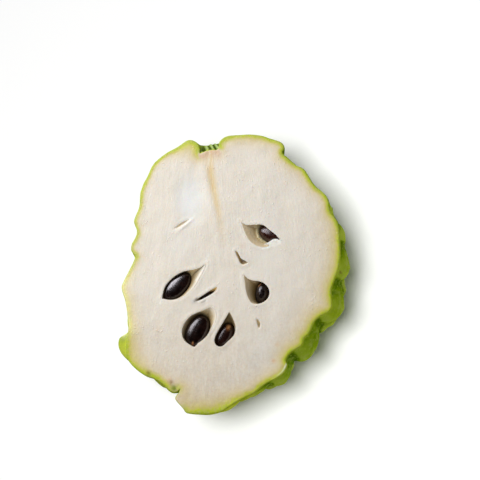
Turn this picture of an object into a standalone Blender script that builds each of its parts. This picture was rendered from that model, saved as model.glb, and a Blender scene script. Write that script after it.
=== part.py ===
"""Half of a custard apple, cut from stem to tip, lying on its rounded back.

Frame: metres, +Z up, origin in the middle of the small flat spot it rests on.
The cut face is level and looks up, +Y points to the stem end, +X to its right.

The rind is a stack of rings. The top ring is the outline of the cut face, and the
rings below it shrink along a quarter of an ellipse down to the resting spot. The warts
(areoles) are a Voronoi pattern on a spiral around the fruit's own stem-to-tip axis,
which lies just under the cut face. The seeds lie in pockets sunk into the cut face.
"""
import math

import bmesh
import bpy
import numpy as np
from mathutils import Vector, geometry

MM = 0.001

# ---------------------------------------------------------------- driving dimensions, mm
CUT_HEIGHT = 55.5      # the cut face, above the surface the half lies on
CHEEK = 9.0            # the widest section lies this far under the cut face
BACK = 47.5            # from the widest section to the pole of the rounded back
SECTORS = 160          # points around the top ring
RINGS = 28             # rings from the cut face to the middle of the resting spot
HALVE_AT = (15, 22)    # rings from which on only every second point is kept
SMOOTH_LENGTH = 9.0    # filter along the outline that pairs its points with the body's
LOBE_DEPTH = 6.5       # how far down the cut outline's own lobes reach
FLAT_RADIUS = 12.0     # no warts on the resting spot

WARTS = 400            # on the whole fruit
WART_HEIGHT = 2.3      # from groove to crest
WART_REACH = 5.6       # from a groove to where a wart is at full height
PETAL = 0.50           # warts near the stem are this much narrower than long
GOLDEN = math.radians(137.508)

SEED_GAP = 0.55        # between a seed and the wall of its pocket
FLOOR_GAP = 0.6        # between a seed and the floor of its pocket

# ------------------------------------------------- outline of the cut face, mm, clockwise
# from the left corner of the stem hollow, down the left side and back up the right
OUTLINE = [
    (-12.0, 53.7), (-12.1, 55.6), (-12.7, 57.3), (-13.9, 58.8), (-15.3, 59.8), (-17.0, 60.2),
    (-18.7, 59.8), (-20.4, 58.7), (-22.5, 57.4), (-24.9, 56.2), (-27.3, 55.1), (-29.7, 53.6),
    (-31.9, 52.0), (-33.8, 50.3), (-35.2, 48.4), (-36.1, 46.4), (-37.3, 43.8), (-38.8, 41.3),
    (-39.7, 39.0), (-40.5, 36.4), (-40.7, 33.6), (-40.8, 31.1), (-41.5, 28.3), (-42.7, 25.7),
    (-43.4, 23.2), (-42.8, 21.1), (-42.0, 19.2), (-42.1, 17.1), (-43.0, 15.0), (-44.2, 13.0),
    (-44.6, 11.1), (-44.5, 9.5), (-43.1, 7.9), (-42.2, 6.8), (-43.0, 5.3), (-44.0, 3.2),
    (-45.2, 0.9), (-46.5, -1.6), (-47.9, -4.3), (-48.9, -6.8), (-48.5, -9.3), (-47.5, -12.1),
    (-46.7, -15.1), (-46.1, -18.6), (-45.7, -22.3), (-45.4, -25.5), (-45.6, -28.2), (-46.1, -30.9),
    (-46.4, -34.1), (-46.3, -37.0), (-45.7, -39.6), (-44.2, -42.0), (-42.2, -44.0), (-39.8, -45.9),
    (-37.2, -47.4), (-34.3, -48.5), (-31.7, -49.7), (-29.3, -51.1), (-27.2, -52.9), (-25.3, -54.6),
    (-23.5, -55.3), (-21.8, -54.9), (-20.9, -53.8), (-21.2, -55.3), (-22.4, -56.7), (-22.9, -58.1),
    (-22.0, -59.6), (-20.5, -61.2), (-19.1, -62.8), (-18.0, -64.3), (-15.7, -64.9), (-12.7, -65.1),
    (-9.5, -65.2), (-6.3, -65.0), (-3.1, -64.5), (-0.6, -63.5), (1.9, -62.0), (4.7, -60.3),
    (7.4, -58.7), (10.1, -57.5), (12.4, -56.5), (14.4, -55.2), (16.7, -53.3), (19.0, -51.7),
    (21.5, -50.5), (23.9, -49.4), (25.9, -48.1), (27.4, -46.2), (28.2, -44.5), (28.0, -43.2),
    (27.6, -42.1), (28.1, -40.6), (29.4, -39.0), (31.4, -37.5), (33.7, -36.3), (35.1, -35.2),
    (35.5, -33.7), (36.0, -32.2), (37.7, -30.7), (38.9, -28.9), (39.6, -27.0), (40.8, -24.9),
    (42.9, -23.2), (45.4, -21.9), (47.4, -20.7), (48.4, -19.0), (48.4, -16.4), (48.2, -13.7),
    (48.1, -11.5), (48.8, -9.3), (49.9, -6.5), (51.1, -3.4), (51.9, -0.1), (52.4, 3.5),
    (52.4, 6.6), (52.3, 9.7), (52.2, 12.9), (51.9, 16.0), (51.3, 18.7), (50.0, 21.0),
    (48.6, 22.9), (47.8, 25.0), (47.6, 27.3), (47.0, 29.6), (45.8, 31.6), (43.7, 33.5),
    (41.8, 35.1), (40.2, 37.1), (38.9, 39.3), (37.8, 41.3), (36.5, 43.3), (34.9, 44.5),
    (32.9, 45.4), (30.8, 47.2), (28.8, 49.1), (27.1, 50.7), (26.5, 51.9), (27.1, 53.0),
    (27.4, 54.1), (26.9, 55.6), (25.3, 56.9), (23.1, 57.8), (20.3, 58.8), (17.3, 60.0),
    (14.0, 60.7), (10.7, 61.1), (7.4, 61.1), (4.1, 61.1), (1.3, 61.0), (-0.7, 60.3),
    (-2.2, 59.1), (-3.1, 57.7), (-3.2, 55.8), (-4.4, 54.8), (-6.7, 55.0), (-8.6, 54.8),
    (-10.5, 54.1),
]

# the body under the warts, at the cut: the outline without its lobes and notches
BODY = [
    (-8.0, 60.2), (-25.0, 55.2), (-36.6, 43.5), (-41.6, 28.0), (-43.8, 12.0), (-46.2, -4.0),
    (-46.8, -20.0), (-45.4, -34.0), (-37.2, -45.4), (-27.2, -52.6), (-18.4, -58.8), (-8.0, -62.6),
    (0.9, -59.6), (8.8, -56.4), (17.9, -52.0), (27.4, -46.7), (34.7, -38.5), (42.1, -30.6),
    (47.7, -21.7), (51.3, -11.2), (52.6, 0.0), (52.4, 13.0), (46.1, 24.6), (40.3, 34.8),
    (32.3, 43.7), (23.9, 52.2), (14.0, 58.8), (3.0, 60.6),
]
# one wart swells out past the cut edge, low on the left: place, spread and extra height
SWELLING = ((-46.4, -31.4, -5.0), 4.6, 4.8)
# folds that run down from notches in the cut edge: bearing in degrees, half width, extra height
FOLDS = [(14.5, 2.8, -1.6), (-6.5, 2.6, -1.5), (-33.0, 3.8, -3.4), (-56.0, 3.0, -2.4), (-82.0, 5.0, -0.8)]

# the warts that the knife went through or just missed: x, y, and depth under the cut face
RIM_WARTS = [
    (-16.3, 58.7, 3.0), (-26.3, 54.6, 4.0), (-36.4, 46.7, 4.0), (-42.0, 28.6, 4.0),
    (-43.7, 11.9, 4.0), (-47.7, -7.0, 3.5), (-45.8, -20.9, 4.5), (-46.9, -34.7, 5.5),
    (-39.6, -45.6, 4.0), (-28.2, -52.7, 4.0), (-22.5, -59.0, 3.5), (-9.5, -64.2, 4.5),
    (2.0, -60.0, 10.0), (11.5, -56.0, 10.0), (25.4, -48.6, 11.0), (37.6, -36.4, 12.0),
    (50.5, -15.9, 12.0), (52.8, 2.3, 11.0), (50.8, 17.5, 10.0), (46.4, 28.0, 6.0),
    (41.9, 35.6, 5.0), (37.0, 42.9, 4.5), (30.6, 47.9, 4.5), (24.7, 56.3, 4.0),
    (13.0, 60.8, 4.5), (1.8, 60.9, 4.5),
]

# ------------------------------------------------------------------- seeds and their pockets
# centre x, y and depth; half length, half width and half height; direction of the length
SEEDS = {
    "seed_upper_right": ((20.9, 15.0, -4.5), (6.6, 4.0, 3.6), -30.0),
    "seed_left": ((-23.5, -7.3, -3.3), (8.2, 4.5, 2.8), 44.0),
    "seed_centre": ((-9.5, -12.3, -4.6), (3.7, 2.4, 3.4), 29.0),
    "seed_lower_left": ((-13.8, -28.0, -3.7), (8.2, 5.3, 3.2), 66.0),
    "seed_lower_middle": ((-1.2, -30.3, -4.9), (6.3, 4.1, 3.9), 64.0),
    "seed_right": ((16.7, -11.2, -6.6), (3.6, 5.2, 5.8), -8.0),
}
POCKETS = {
    "seed_upper_right": [
        (7.0, 21.1), (8.3, 19.9), (10.0, 19.3), (12.5, 19.3), (15.3, 19.3), (17.6, 18.9),
        (19.2, 17.7), (20.8, 16.3), (22.4, 15.1), (23.9, 13.7), (25.2, 11.8), (23.9, 12.2),
        (22.2, 12.1), (20.9, 11.1), (20.1, 9.6), (18.5, 8.6), (16.4, 8.8), (14.1, 9.6),
        (11.8, 11.2), (10.1, 13.3), (8.8, 16.0), (7.8, 18.6)],
    "seed_left": [
        (-29.5, -12.8), (-29.1, -10.1), (-28.0, -7.2), (-25.9, -4.7), (-23.2, -2.6), (-20.2, -1.1),
        (-17.4, -0.4), (-15.0, -0.1), (-12.5, 0.5), (-10.5, 1.2), (-8.8, 2.4), (-9.5, -0.1),
        (-11.1, -2.9), (-12.6, -5.6), (-14.1, -7.9), (-16.5, -10.4), (-19.1, -12.4), (-22.4, -13.5),
        (-26.0, -13.6), (-28.4, -13.1)],
    "seed_centre": [
        (-13.6, -14.4), (-12.1, -13.1), (-9.8, -11.7), (-7.4, -10.2), (-5.6, -9.2), (-3.7, -8.4),
        (-3.9, -9.7), (-5.3, -10.9), (-6.9, -11.9), (-9.3, -13.1), (-11.4, -14.1)],
    "seed_lower_left": [
        (-6.2, -17.1), (-4.8, -18.0), (-3.9, -20.1), (-3.9, -22.5), (-4.9, -25.1), (-6.5, -27.8),
        (-8.2, -30.1), (-10.4, -32.2), (-12.4, -33.5), (-13.7, -34.9), (-14.7, -35.0), (-16.3, -34.2),
        (-18.5, -32.5), (-19.8, -30.3), (-20.1, -27.9), (-19.5, -25.4), (-18.1, -23.2), (-16.2, -21.3),
        (-13.6, -20.0), (-10.8, -19.0), (-8.4, -17.9)],
    "seed_lower_middle": [
        (2.1, -19.8), (3.3, -21.8), (4.2, -24.0), (4.9, -26.3), (4.9, -28.5), (4.2, -30.3),
        (2.8, -31.8), (1.0, -33.3), (-0.6, -34.8), (-2.2, -35.3), (-3.9, -34.7), (-4.8, -33.2),
        (-4.7, -31.4), (-4.0, -29.7), (-2.7, -27.4), (-1.3, -25.2), (0.0, -23.0), (1.2, -21.1)],
    "seed_right": [
        (8.5, -3.3), (10.2, -4.9), (12.5, -5.9), (15.2, -6.4), (17.5, -7.2), (19.3, -8.8),
        (20.3, -10.6), (20.3, -12.9), (19.1, -14.9), (17.0, -16.2), (14.8, -16.7), (12.6, -16.4),
        (11.3, -15.2), (10.2, -13.0), (9.4, -10.3), (9.0, -7.1)],
}
# how a pocket's mouth draws in to the seed: part of the way down to the seed's widest level,
# part of the distance between the seed's outline and the mouth that is still left
POCKET_STEPS = [(0.08, 0.84), (0.20, 0.64), (0.45, 0.36), (0.75, 0.14), (1.0, 0.03)]
# below that level the pocket follows the seed: part of the seed's half height
POCKET_BOWL = [0.40, 0.70, 0.90]

# small clefts without a seed: outline and depth
CLEFTS = [
    ([(-24.1, 19.0), (-22.7, 20.3), (-21.0, 21.5), (-19.1, 22.4), (-17.0, 23.2), (-18.3, 21.9),
      (-20.3, 20.5), (-22.2, 19.3)], 1.2),
    ([(4.6, 7.7), (5.7, 7.2), (6.5, 5.7), (7.5, 4.0), (9.1, 3.0), (10.6, 1.9), (9.4, 1.4),
      (8.2, 1.2), (7.0, 2.1), (6.2, 3.9), (5.3, 5.7)], 1.8),
    ([(14.4, -23.3), (15.7, -24.0), (16.3, -25.6), (15.9, -27.6), (15.1, -26.6), (14.7, -24.9)], 0.9),
]


# ------------------------------------------------------------------------------ the rind
def closed_spline(points, count):
    """Points evenly spaced along a smooth closed curve through the given ones."""
    p = np.array(points, float)
    a, b, c, d = np.roll(p, 1, 0), p, np.roll(p, -1, 0), np.roll(p, -2, 0)
    fine = []
    for t in np.linspace(0, 1, 12, endpoint=False):
        fine.append(0.5 * (2 * b + (c - a) * t + (2 * a - 5 * b + 4 * c - d) * t**2 + (3 * b - a - 3 * c + d) * t**3))
    fine = np.stack(fine, 1).reshape(-1, 2)
    step = np.linalg.norm(np.roll(fine, -1, 0) - fine, axis=1)
    along = np.concatenate([[0], np.cumsum(step)])
    loop = np.vstack([fine, fine[:1]])
    at = np.arange(count) * along[-1] / count
    return np.stack([np.interp(at, along, loop[:, k]) for k in (0, 1)], 1), along[-1]


def smooth_closed(points, spacing, length):
    """The closed curve without its detail: a Gaussian average along it."""
    n = len(points)
    away = np.arange(n)
    away = np.minimum(away, n - away) * spacing
    weight = np.exp(-0.5 * (away / length) ** 2)
    weight /= weight.sum()
    return np.stack([np.real(np.fft.ifft(np.fft.fft(points[:, k]) * np.fft.fft(weight))) for k in (0, 1)], 1)


def smoothstep(x):
    x = np.clip(x, 0, 1)
    return x * x * (3 - 2 * x)


def wart_centres(body):
    """Where the warts sit, their direction to the tip, and their narrowness, in mm."""
    polar = np.arctan2(body[:, 1], body[:, 0])
    order = np.argsort(polar)
    radius_at = lambda a: np.interp(a, polar[order], np.linalg.norm(body, axis=1)[order], period=2 * math.pi)

    # down the fruit from the stem: fewer, longer warts near the stem
    angle = np.linspace(0, math.pi, 2000)
    crowding = 0.55 + 0.45 * smoothstep((angle - 0.35) / 0.7)
    total = np.cumsum(crowding * np.sin(angle))
    total /= total[-1]
    rng = np.random.default_rng(7)
    down = np.interp((np.arange(WARTS) + 0.5) / WARTS, total, angle)
    around = np.arange(WARTS) * GOLDEN + rng.uniform(-0.12, 0.12, WARTS) / np.maximum(np.sin(down), 0.2)
    down = down + rng.uniform(-0.02, 0.02, WARTS)

    points = []
    for theta, phi in zip(down, around):
        x, y, z = math.sin(theta) * math.cos(phi), math.cos(theta), math.sin(theta) * math.sin(phi)
        x -= 0.14 * y * y
        flat = math.hypot(x, y)
        reach = radius_at(math.atan2(y, x))
        t = math.atan2(z * reach, flat * BACK)
        points.append((reach * math.cos(t) * x / flat, reach * math.cos(t) * y / flat, -CHEEK + BACK * math.sin(t)))
    points = np.array(points)
    rim = np.array([(x, y, -z) for x, y, z in RIM_WARTS])
    room = np.where(rim[:, 2] < -9.0, 12.5, 7.6)
    clear = np.min(np.linalg.norm(points[:, None] - rim[None], axis=2) - room[None], axis=1)
    points = points[(points[:, 2] < -8.5) & (clear > 0)]
    points = np.vstack([rim, points])

    stem = np.array([-7.7, 56.0, -CHEEK])
    tip = np.array([-9.0, -66.0, -CHEEK])
    away = points - stem
    from_stem = np.linalg.norm(away, axis=1)
    to_tip = tip - points
    heading = away / from_stem[:, None] + to_tip / np.linalg.norm(to_tip, axis=1)[:, None]
    heading /= np.linalg.norm(heading, axis=1)[:, None]
    narrow = PETAL + (0.9 - PETAL) * smoothstep((from_stem - 16) / 75)
    return points, heading, narrow


def wart_height(where, centres, heading, narrow):
    """Height of the warts over their grooves at the given points, mm."""
    height = np.empty(len(where))
    for i in range(0, len(where), 2000):
        gap = where[i:i + 2000, None] - centres[None]
        along = np.einsum("ijk,jk->ij", gap, heading)
        far = np.sqrt(np.maximum((gap**2).sum(2) - (1 - narrow[None] ** 2) * along**2, 0))
        near = np.partition(far, 1, axis=1)[:, :2]
        own = far.argmin(axis=1)
        groove = (near[:, 1] - near[:, 0]) / 2
        groove = np.sqrt(groove**2 + 0.36) - 0.6
        # a wart rises slowly from its stem side and drops steeply at its tip side, like a scale
        place = np.clip(along[np.arange(len(own)), own] * np.sqrt(narrow[own]) / 5.9, -1, 1)
        reach = WART_REACH * (1 - 0.52 * place)
        dome = 1 - (1 - np.clip(groove / reach, 0, 1)) ** 2.4
        height[i:i + 2000] = dome * (0.62 + 0.52 * smoothstep((place + 0.9) / 1.5))
    return height * WART_HEIGHT


def rind_rings():
    """The rings of the rind from the cut face down, as one array (ring, point, xyz), mm."""
    outline, length = closed_spline(OUTLINE, SECTORS)
    outline = outline[::-1]
    guide = smooth_closed(outline, length / SECTORS, SMOOTH_LENGTH)
    round_body, _ = closed_spline(BODY, 720)
    bearing = np.arctan2(round_body[:, 1], round_body[:, 0])
    order = np.argsort(bearing)
    bearing_here = np.arctan2(guide[:, 1], guide[:, 0])
    radius = np.interp(bearing_here, bearing[order], np.linalg.norm(round_body, axis=1)[order], period=2 * math.pi)
    body = np.column_stack([np.cos(bearing_here), np.sin(bearing_here)]) * radius[:, None]
    lobes = outline - body
    start = -math.asin(CHEEK / BACK)
    turns = start + (math.pi / 2 - start) * (np.linspace(0, 1, RINGS + 1)[:-1] ** 0.92)
    rings = []
    for t in turns:
        depth = CHEEK + BACK * math.sin(t)
        keep = math.exp(-((depth / LOBE_DEPTH) ** 2))
        ring = (body * math.cos(t) / math.cos(start) + lobes * keep)
        rings.append(np.column_stack([ring, np.full(SECTORS, -depth)]))
    rings = np.array(rings)
    rings[0, :, :2] = outline
    rings[0, :, 2] = 0

    smooth = np.array([np.column_stack([body * math.cos(t) / math.cos(start),
                                        np.full(SECTORS, -CHEEK - BACK * math.sin(t))]) for t in turns])
    across = np.roll(smooth, -1, 1) - np.roll(smooth, 1, 1)
    down = np.gradient(smooth, axis=0)
    normal = np.cross(across, down)
    normal /= np.linalg.norm(normal, axis=2)[:, :, None]
    height = wart_height(smooth.reshape(-1, 3), *wart_centres(body)).reshape(RINGS, SECTORS)
    depth = -smooth[:, :, 2]
    fade_in = 1 - np.exp(-((depth / LOBE_DEPTH) ** 2))
    place, spread, extra = SWELLING
    swollen = extra * np.exp(-((smooth - np.array(place)) ** 2).sum(2) / (2 * spread**2)) * smoothstep(depth / 3.5)
    swollen = swollen * (1 - smoothstep((smooth[:, :, 1] + 30.0) / 2.8))
    facing = np.arctan2(smooth[:, :, 1], smooth[:, :, 0])
    for at, spread, extra in FOLDS:
        off = (facing - math.radians(at) + math.pi) % (2 * math.pi) - math.pi
        off = off * np.linalg.norm(smooth[:, :, :2], axis=2)
        swollen = swollen + extra * np.exp(-0.5 * (off / spread) ** 2) * smoothstep(depth / 12) * (1 - smoothstep((depth - 26) / 14))
    out = np.linalg.norm(smooth[:, :, :2], axis=2)
    fade_out = smoothstep((out - FLAT_RADIUS) / 9)
    rings = rings + normal * ((height - 0.55 * WART_HEIGHT) * fade_in * fade_out + swollen)[:, :, None]
    rings[0] = np.column_stack([outline, np.zeros(SECTORS)])
    rings[1:, :, 2] = np.minimum(rings[1:, :, 2], -0.8)
    rings[:, :, 2] = np.maximum(rings[:, :, 2] + CUT_HEIGHT, 0)
    return rings


# --------------------------------------------------------------------------- the pockets
def seed_section(name, z, gap):
    """Half length and half width of a seed, with a gap around it, at a height, mm."""
    (cx, cy, cz), (half_length, half_width, half_height), turn = SEEDS[name]
    rise = 1 - ((z - cz) / (half_height + gap)) ** 2
    grown = math.sqrt(rise) if rise > 0 else 0
    return (half_length + gap) * grown, (half_width + gap) * grown


def pocket_ring(name, mouth, z, reach):
    """The mouth of a pocket drawn in towards the seed's outline, but never into the seed."""
    (cx, cy, cz), (half_length, half_width, _), turn = SEEDS[name]
    cos, sin = math.cos(math.radians(turn)), math.sin(math.radians(turn))
    long, wide = seed_section(name, z, SEED_GAP)
    ring = []
    for x, y in mouth:
        a, b = (x - cx) * cos + (y - cy) * sin, -(x - cx) * sin + (y - cy) * cos
        out = math.hypot(a / (half_length + SEED_GAP), b / (half_width + SEED_GAP))
        size = (1 + (out - 1) * reach) / out if out > 1 else 1
        a, b = a * size, b * size
        if long > 0:
            inside = math.hypot(a / long, b / wide)
            if inside < 1 or z < cz:
                a, b = a / inside, b / inside
        ring.append((cx + a * cos - b * sin, cy + a * sin + b * cos))
    return ring


def refined(name, mouth):
    """The mouth with more points where it passes close over the seed, so that the wall clears the seed."""
    (cx, cy, _), _, _ = SEEDS[name]
    points = []
    for (ax, ay), (bx, by) in zip(mouth, mouth[1:] + mouth[:1]):
        turn = math.atan2(by - cy, bx - cx) - math.atan2(ay - cy, ax - cx)
        turn = abs((turn + math.pi) % (2 * math.pi) - math.pi)
        parts = max(1, math.ceil(turn / math.radians(14)))
        points += [(ax + (bx - ax) * k / parts, ay + (by - ay) * k / parts) for k in range(parts)]
    return points


def signed_area(polygon):
    return sum(a[0] * b[1] - b[0] * a[1] for a, b in zip(polygon, polygon[1:] + polygon[:1])) / 2


def inside_polygon(x, y, polygon):
    hit = False
    for (ax, ay), (bx, by) in zip(polygon, polygon[1:] + polygon[:1]):
        if (ay > y) != (by > y) and x < (bx - ax) * (y - ay) / (by - ay) + ax:
            hit = not hit
    return hit


def counter_clockwise(polygon):
    return polygon if signed_area(polygon) > 0 else polygon[::-1]


# ------------------------------------------------------------------------------ assembly
def material(name, colour, roughness):
    made = bpy.data.materials.new(name)
    made.use_nodes = True
    shader = made.node_tree.nodes["Principled BSDF"]
    shader.inputs["Base Color"].default_value = (*colour, 1)
    shader.inputs["Roughness"].default_value = roughness
    made.diffuse_color = (*colour, 1)
    return made


def add_object(name, shape, made_of):
    mesh = bpy.data.meshes.new(name)
    shape.to_mesh(mesh)
    shape.free()
    mesh.materials.append(made_of)
    piece = bpy.data.objects.new(name, mesh)
    bpy.context.scene.collection.objects.link(piece)
    mesh.shade_smooth()
    return piece


def make_fruit(made_of):
    shape = bmesh.new()
    rings = rind_rings()

    # the rind, with half the points from some rings on
    rows, every = [], 1
    for i in range(RINGS):
        if i in HALVE_AT:
            every *= 2
        rows.append([shape.verts.new(Vector(p) * MM) for p in rings[i, ::every]])
    for upper, lower in zip(rows, rows[1:]):
        n, m = len(upper), len(lower)
        for k in range(n):
            a, b = upper[k], upper[(k + 1) % n]
            if n == m:
                shape.faces.new((a, lower[k], lower[(k + 1) % m], b))
            elif k % 2 == 0:
                shape.faces.new((a, lower[k // 2], b))
            else:
                shape.faces.new((a, lower[k // 2], lower[(k // 2 + 1) % m], b))
    shape.faces.new(rows[-1])

    # the cut face: a flat sheet with the mouths of the pockets left open
    mouths = {name: counter_clockwise(refined(name, outline)) for name, outline in POCKETS.items()}
    clefts = [(counter_clockwise(outline), depth) for outline, depth in CLEFTS]
    loops = [[(p[0], p[1]) for p in rings[0]]] + list(mouths.values()) + [outline for outline, _ in clefts]
    flat, edges, owners = [], [], []
    for number, loop in enumerate(loops):
        first = len(flat)
        flat += [Vector(p) for p in loop]
        edges += [(first + k, first + (k + 1) % len(loop)) for k in range(len(loop))]
        owners += [(number, k) for k in range(len(loop))]
    points, _, triangles, origin, _, _ = geometry.delaunay_2d_cdt(flat, edges, [], 1, 1e-4)
    made = {}
    vertices = []
    for point, source in zip(points, origin):
        number, k = owners[source[0]] if source else (None, None)
        if number == 0:
            vertex = rows[0][k]
        else:
            vertex = shape.verts.new((point.x * MM, point.y * MM, CUT_HEIGHT * MM))
        made[(number, k)] = vertex
        vertices.append(vertex)
    for triangle in triangles:
        x = sum(points[k].x for k in triangle) / 3
        y = sum(points[k].y for k in triangle) / 3
        if not any(inside_polygon(x, y, loop) for loop in loops[1:]):
            shape.faces.new([vertices[k] for k in triangle])

    def sink(number, rings_down, last):
        """Walls from a mouth down to its lowest point."""
        upper = [made[(number, k)] for k in range(len(loops[number]))]
        for ring, z in rings_down:
            lower = [shape.verts.new((x * MM, y * MM, (CUT_HEIGHT + z) * MM)) for x, y in ring]
            for k in range(len(upper)):
                j = (k + 1) % len(upper)
                shape.faces.new((upper[k], upper[j], lower[j], lower[k]))
            upper = lower
        bottom = shape.verts.new((last[0] * MM, last[1] * MM, (CUT_HEIGHT + last[2]) * MM))
        for k in range(len(upper)):
            shape.faces.new((upper[k], upper[(k + 1) % len(upper)], bottom))

    for number, (name, mouth) in enumerate(mouths.items(), 1):
        (cx, cy, cz), (_, _, half_height), _ = SEEDS[name]
        steps = [(pocket_ring(name, mouth, cz * part, reach), cz * part) for part, reach in POCKET_STEPS]
        levels = [cz - half_height * part for part in POCKET_BOWL]
        steps += [(pocket_ring(name, mouth, level, 0), level) for level in levels]
        depth = half_height - cz + FLOOR_GAP
        sink(number, steps, (cx, cy, -depth))
    for number, (mouth, depth) in enumerate(clefts, 1 + len(mouths)):
        cx = sum(p[0] for p in mouth) / len(mouth)
        cy = sum(p[1] for p in mouth) / len(mouth)
        ring = [(cx + (x - cx) * 0.72, cy + (y - cy) * 0.72) for x, y in mouth]
        sink(number, [(ring, -depth * 0.7)], (cx, cy, -depth))

    bmesh.ops.triangulate(shape, faces=[f for f in shape.faces if len(f.verts) == 4])
    bmesh.ops.recalc_face_normals(shape, faces=shape.faces)
    piece = add_object("fruit_half", shape, made_of)
    piece.data.set_sharp_from_angle(angle=math.radians(40))
    return piece


def make_seed(name, made_of):
    """A plump oblong seed, a little narrower at the end that was attached."""
    (cx, cy, cz), (half_length, half_width, half_height), turn = SEEDS[name]
    shape = bmesh.new()
    bmesh.ops.create_uvsphere(shape, u_segments=16, v_segments=10, radius=1)
    for vertex in shape.verts:
        along, side, up = vertex.co.z, vertex.co.x, vertex.co.y
        taper = 1 - 0.10 * along * along - 0.06 * along
        vertex.co = Vector((along * half_length, side * half_width * taper, up * half_height * taper)) * MM
    piece = add_object(name, shape, made_of)
    piece.location = (cx * MM, cy * MM, (CUT_HEIGHT + cz) * MM)
    piece.rotation_euler = (0, 0, math.radians(turn))
    return piece


def main():
    for old in list(bpy.data.objects):
        bpy.data.objects.remove(old, do_unlink=True)
    flesh = material("flesh_and_rind", (0.62, 0.66, 0.33), 0.45)
    black = material("seed_coat", (0.012, 0.007, 0.006), 0.15)
    make_fruit(flesh)
    for name in SEEDS:
        make_seed(name, black)


main()
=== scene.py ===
import math

import bpy
import numpy as np
from mathutils import Matrix, Vector, geometry


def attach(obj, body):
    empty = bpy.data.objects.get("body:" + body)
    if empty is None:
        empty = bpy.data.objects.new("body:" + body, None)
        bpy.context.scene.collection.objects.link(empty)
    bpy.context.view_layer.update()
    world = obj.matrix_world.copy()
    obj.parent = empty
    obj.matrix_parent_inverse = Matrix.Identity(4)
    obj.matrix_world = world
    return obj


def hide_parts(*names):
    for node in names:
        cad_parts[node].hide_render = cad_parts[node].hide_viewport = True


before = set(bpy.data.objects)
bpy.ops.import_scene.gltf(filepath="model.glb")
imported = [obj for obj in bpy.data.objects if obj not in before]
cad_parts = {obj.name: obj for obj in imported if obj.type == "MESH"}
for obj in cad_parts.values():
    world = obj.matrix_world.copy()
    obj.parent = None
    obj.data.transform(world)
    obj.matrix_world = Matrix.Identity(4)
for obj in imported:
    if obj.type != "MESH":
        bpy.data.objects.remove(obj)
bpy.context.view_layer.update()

MM = 0.001

# ================================================================ the fruit's dimensions, mm
CUT_HEIGHT = 55.5      # the cut face, above the surface the half lies on
CHEEK = 9.0            # the widest section lies this far under the cut face
BACK = 47.5            # from the widest section to the pole of the rounded back
SMOOTH_LENGTH = 9.0    # filter along the outline that pairs its points with the body's
LOBE_DEPTH = 6.5       # how far down the cut outline's own lobes reach
FLAT_RADIUS = 12.0     # no warts on the resting spot
WARTS = 400            # on the whole fruit
WART_HEIGHT = 2.3      # from groove to crest
WART_REACH = 5.6       # from a groove to where a wart is at full height
PETAL = 0.50           # warts near the stem are this much narrower than long
GOLDEN = math.radians(137.508)

SECTORS = 600          # points around the top ring
RINGS = 112
HALVE_AT = (70, 94)
MOUTH_STEP = 0.33      # spacing along the mouths of the pockets

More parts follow.
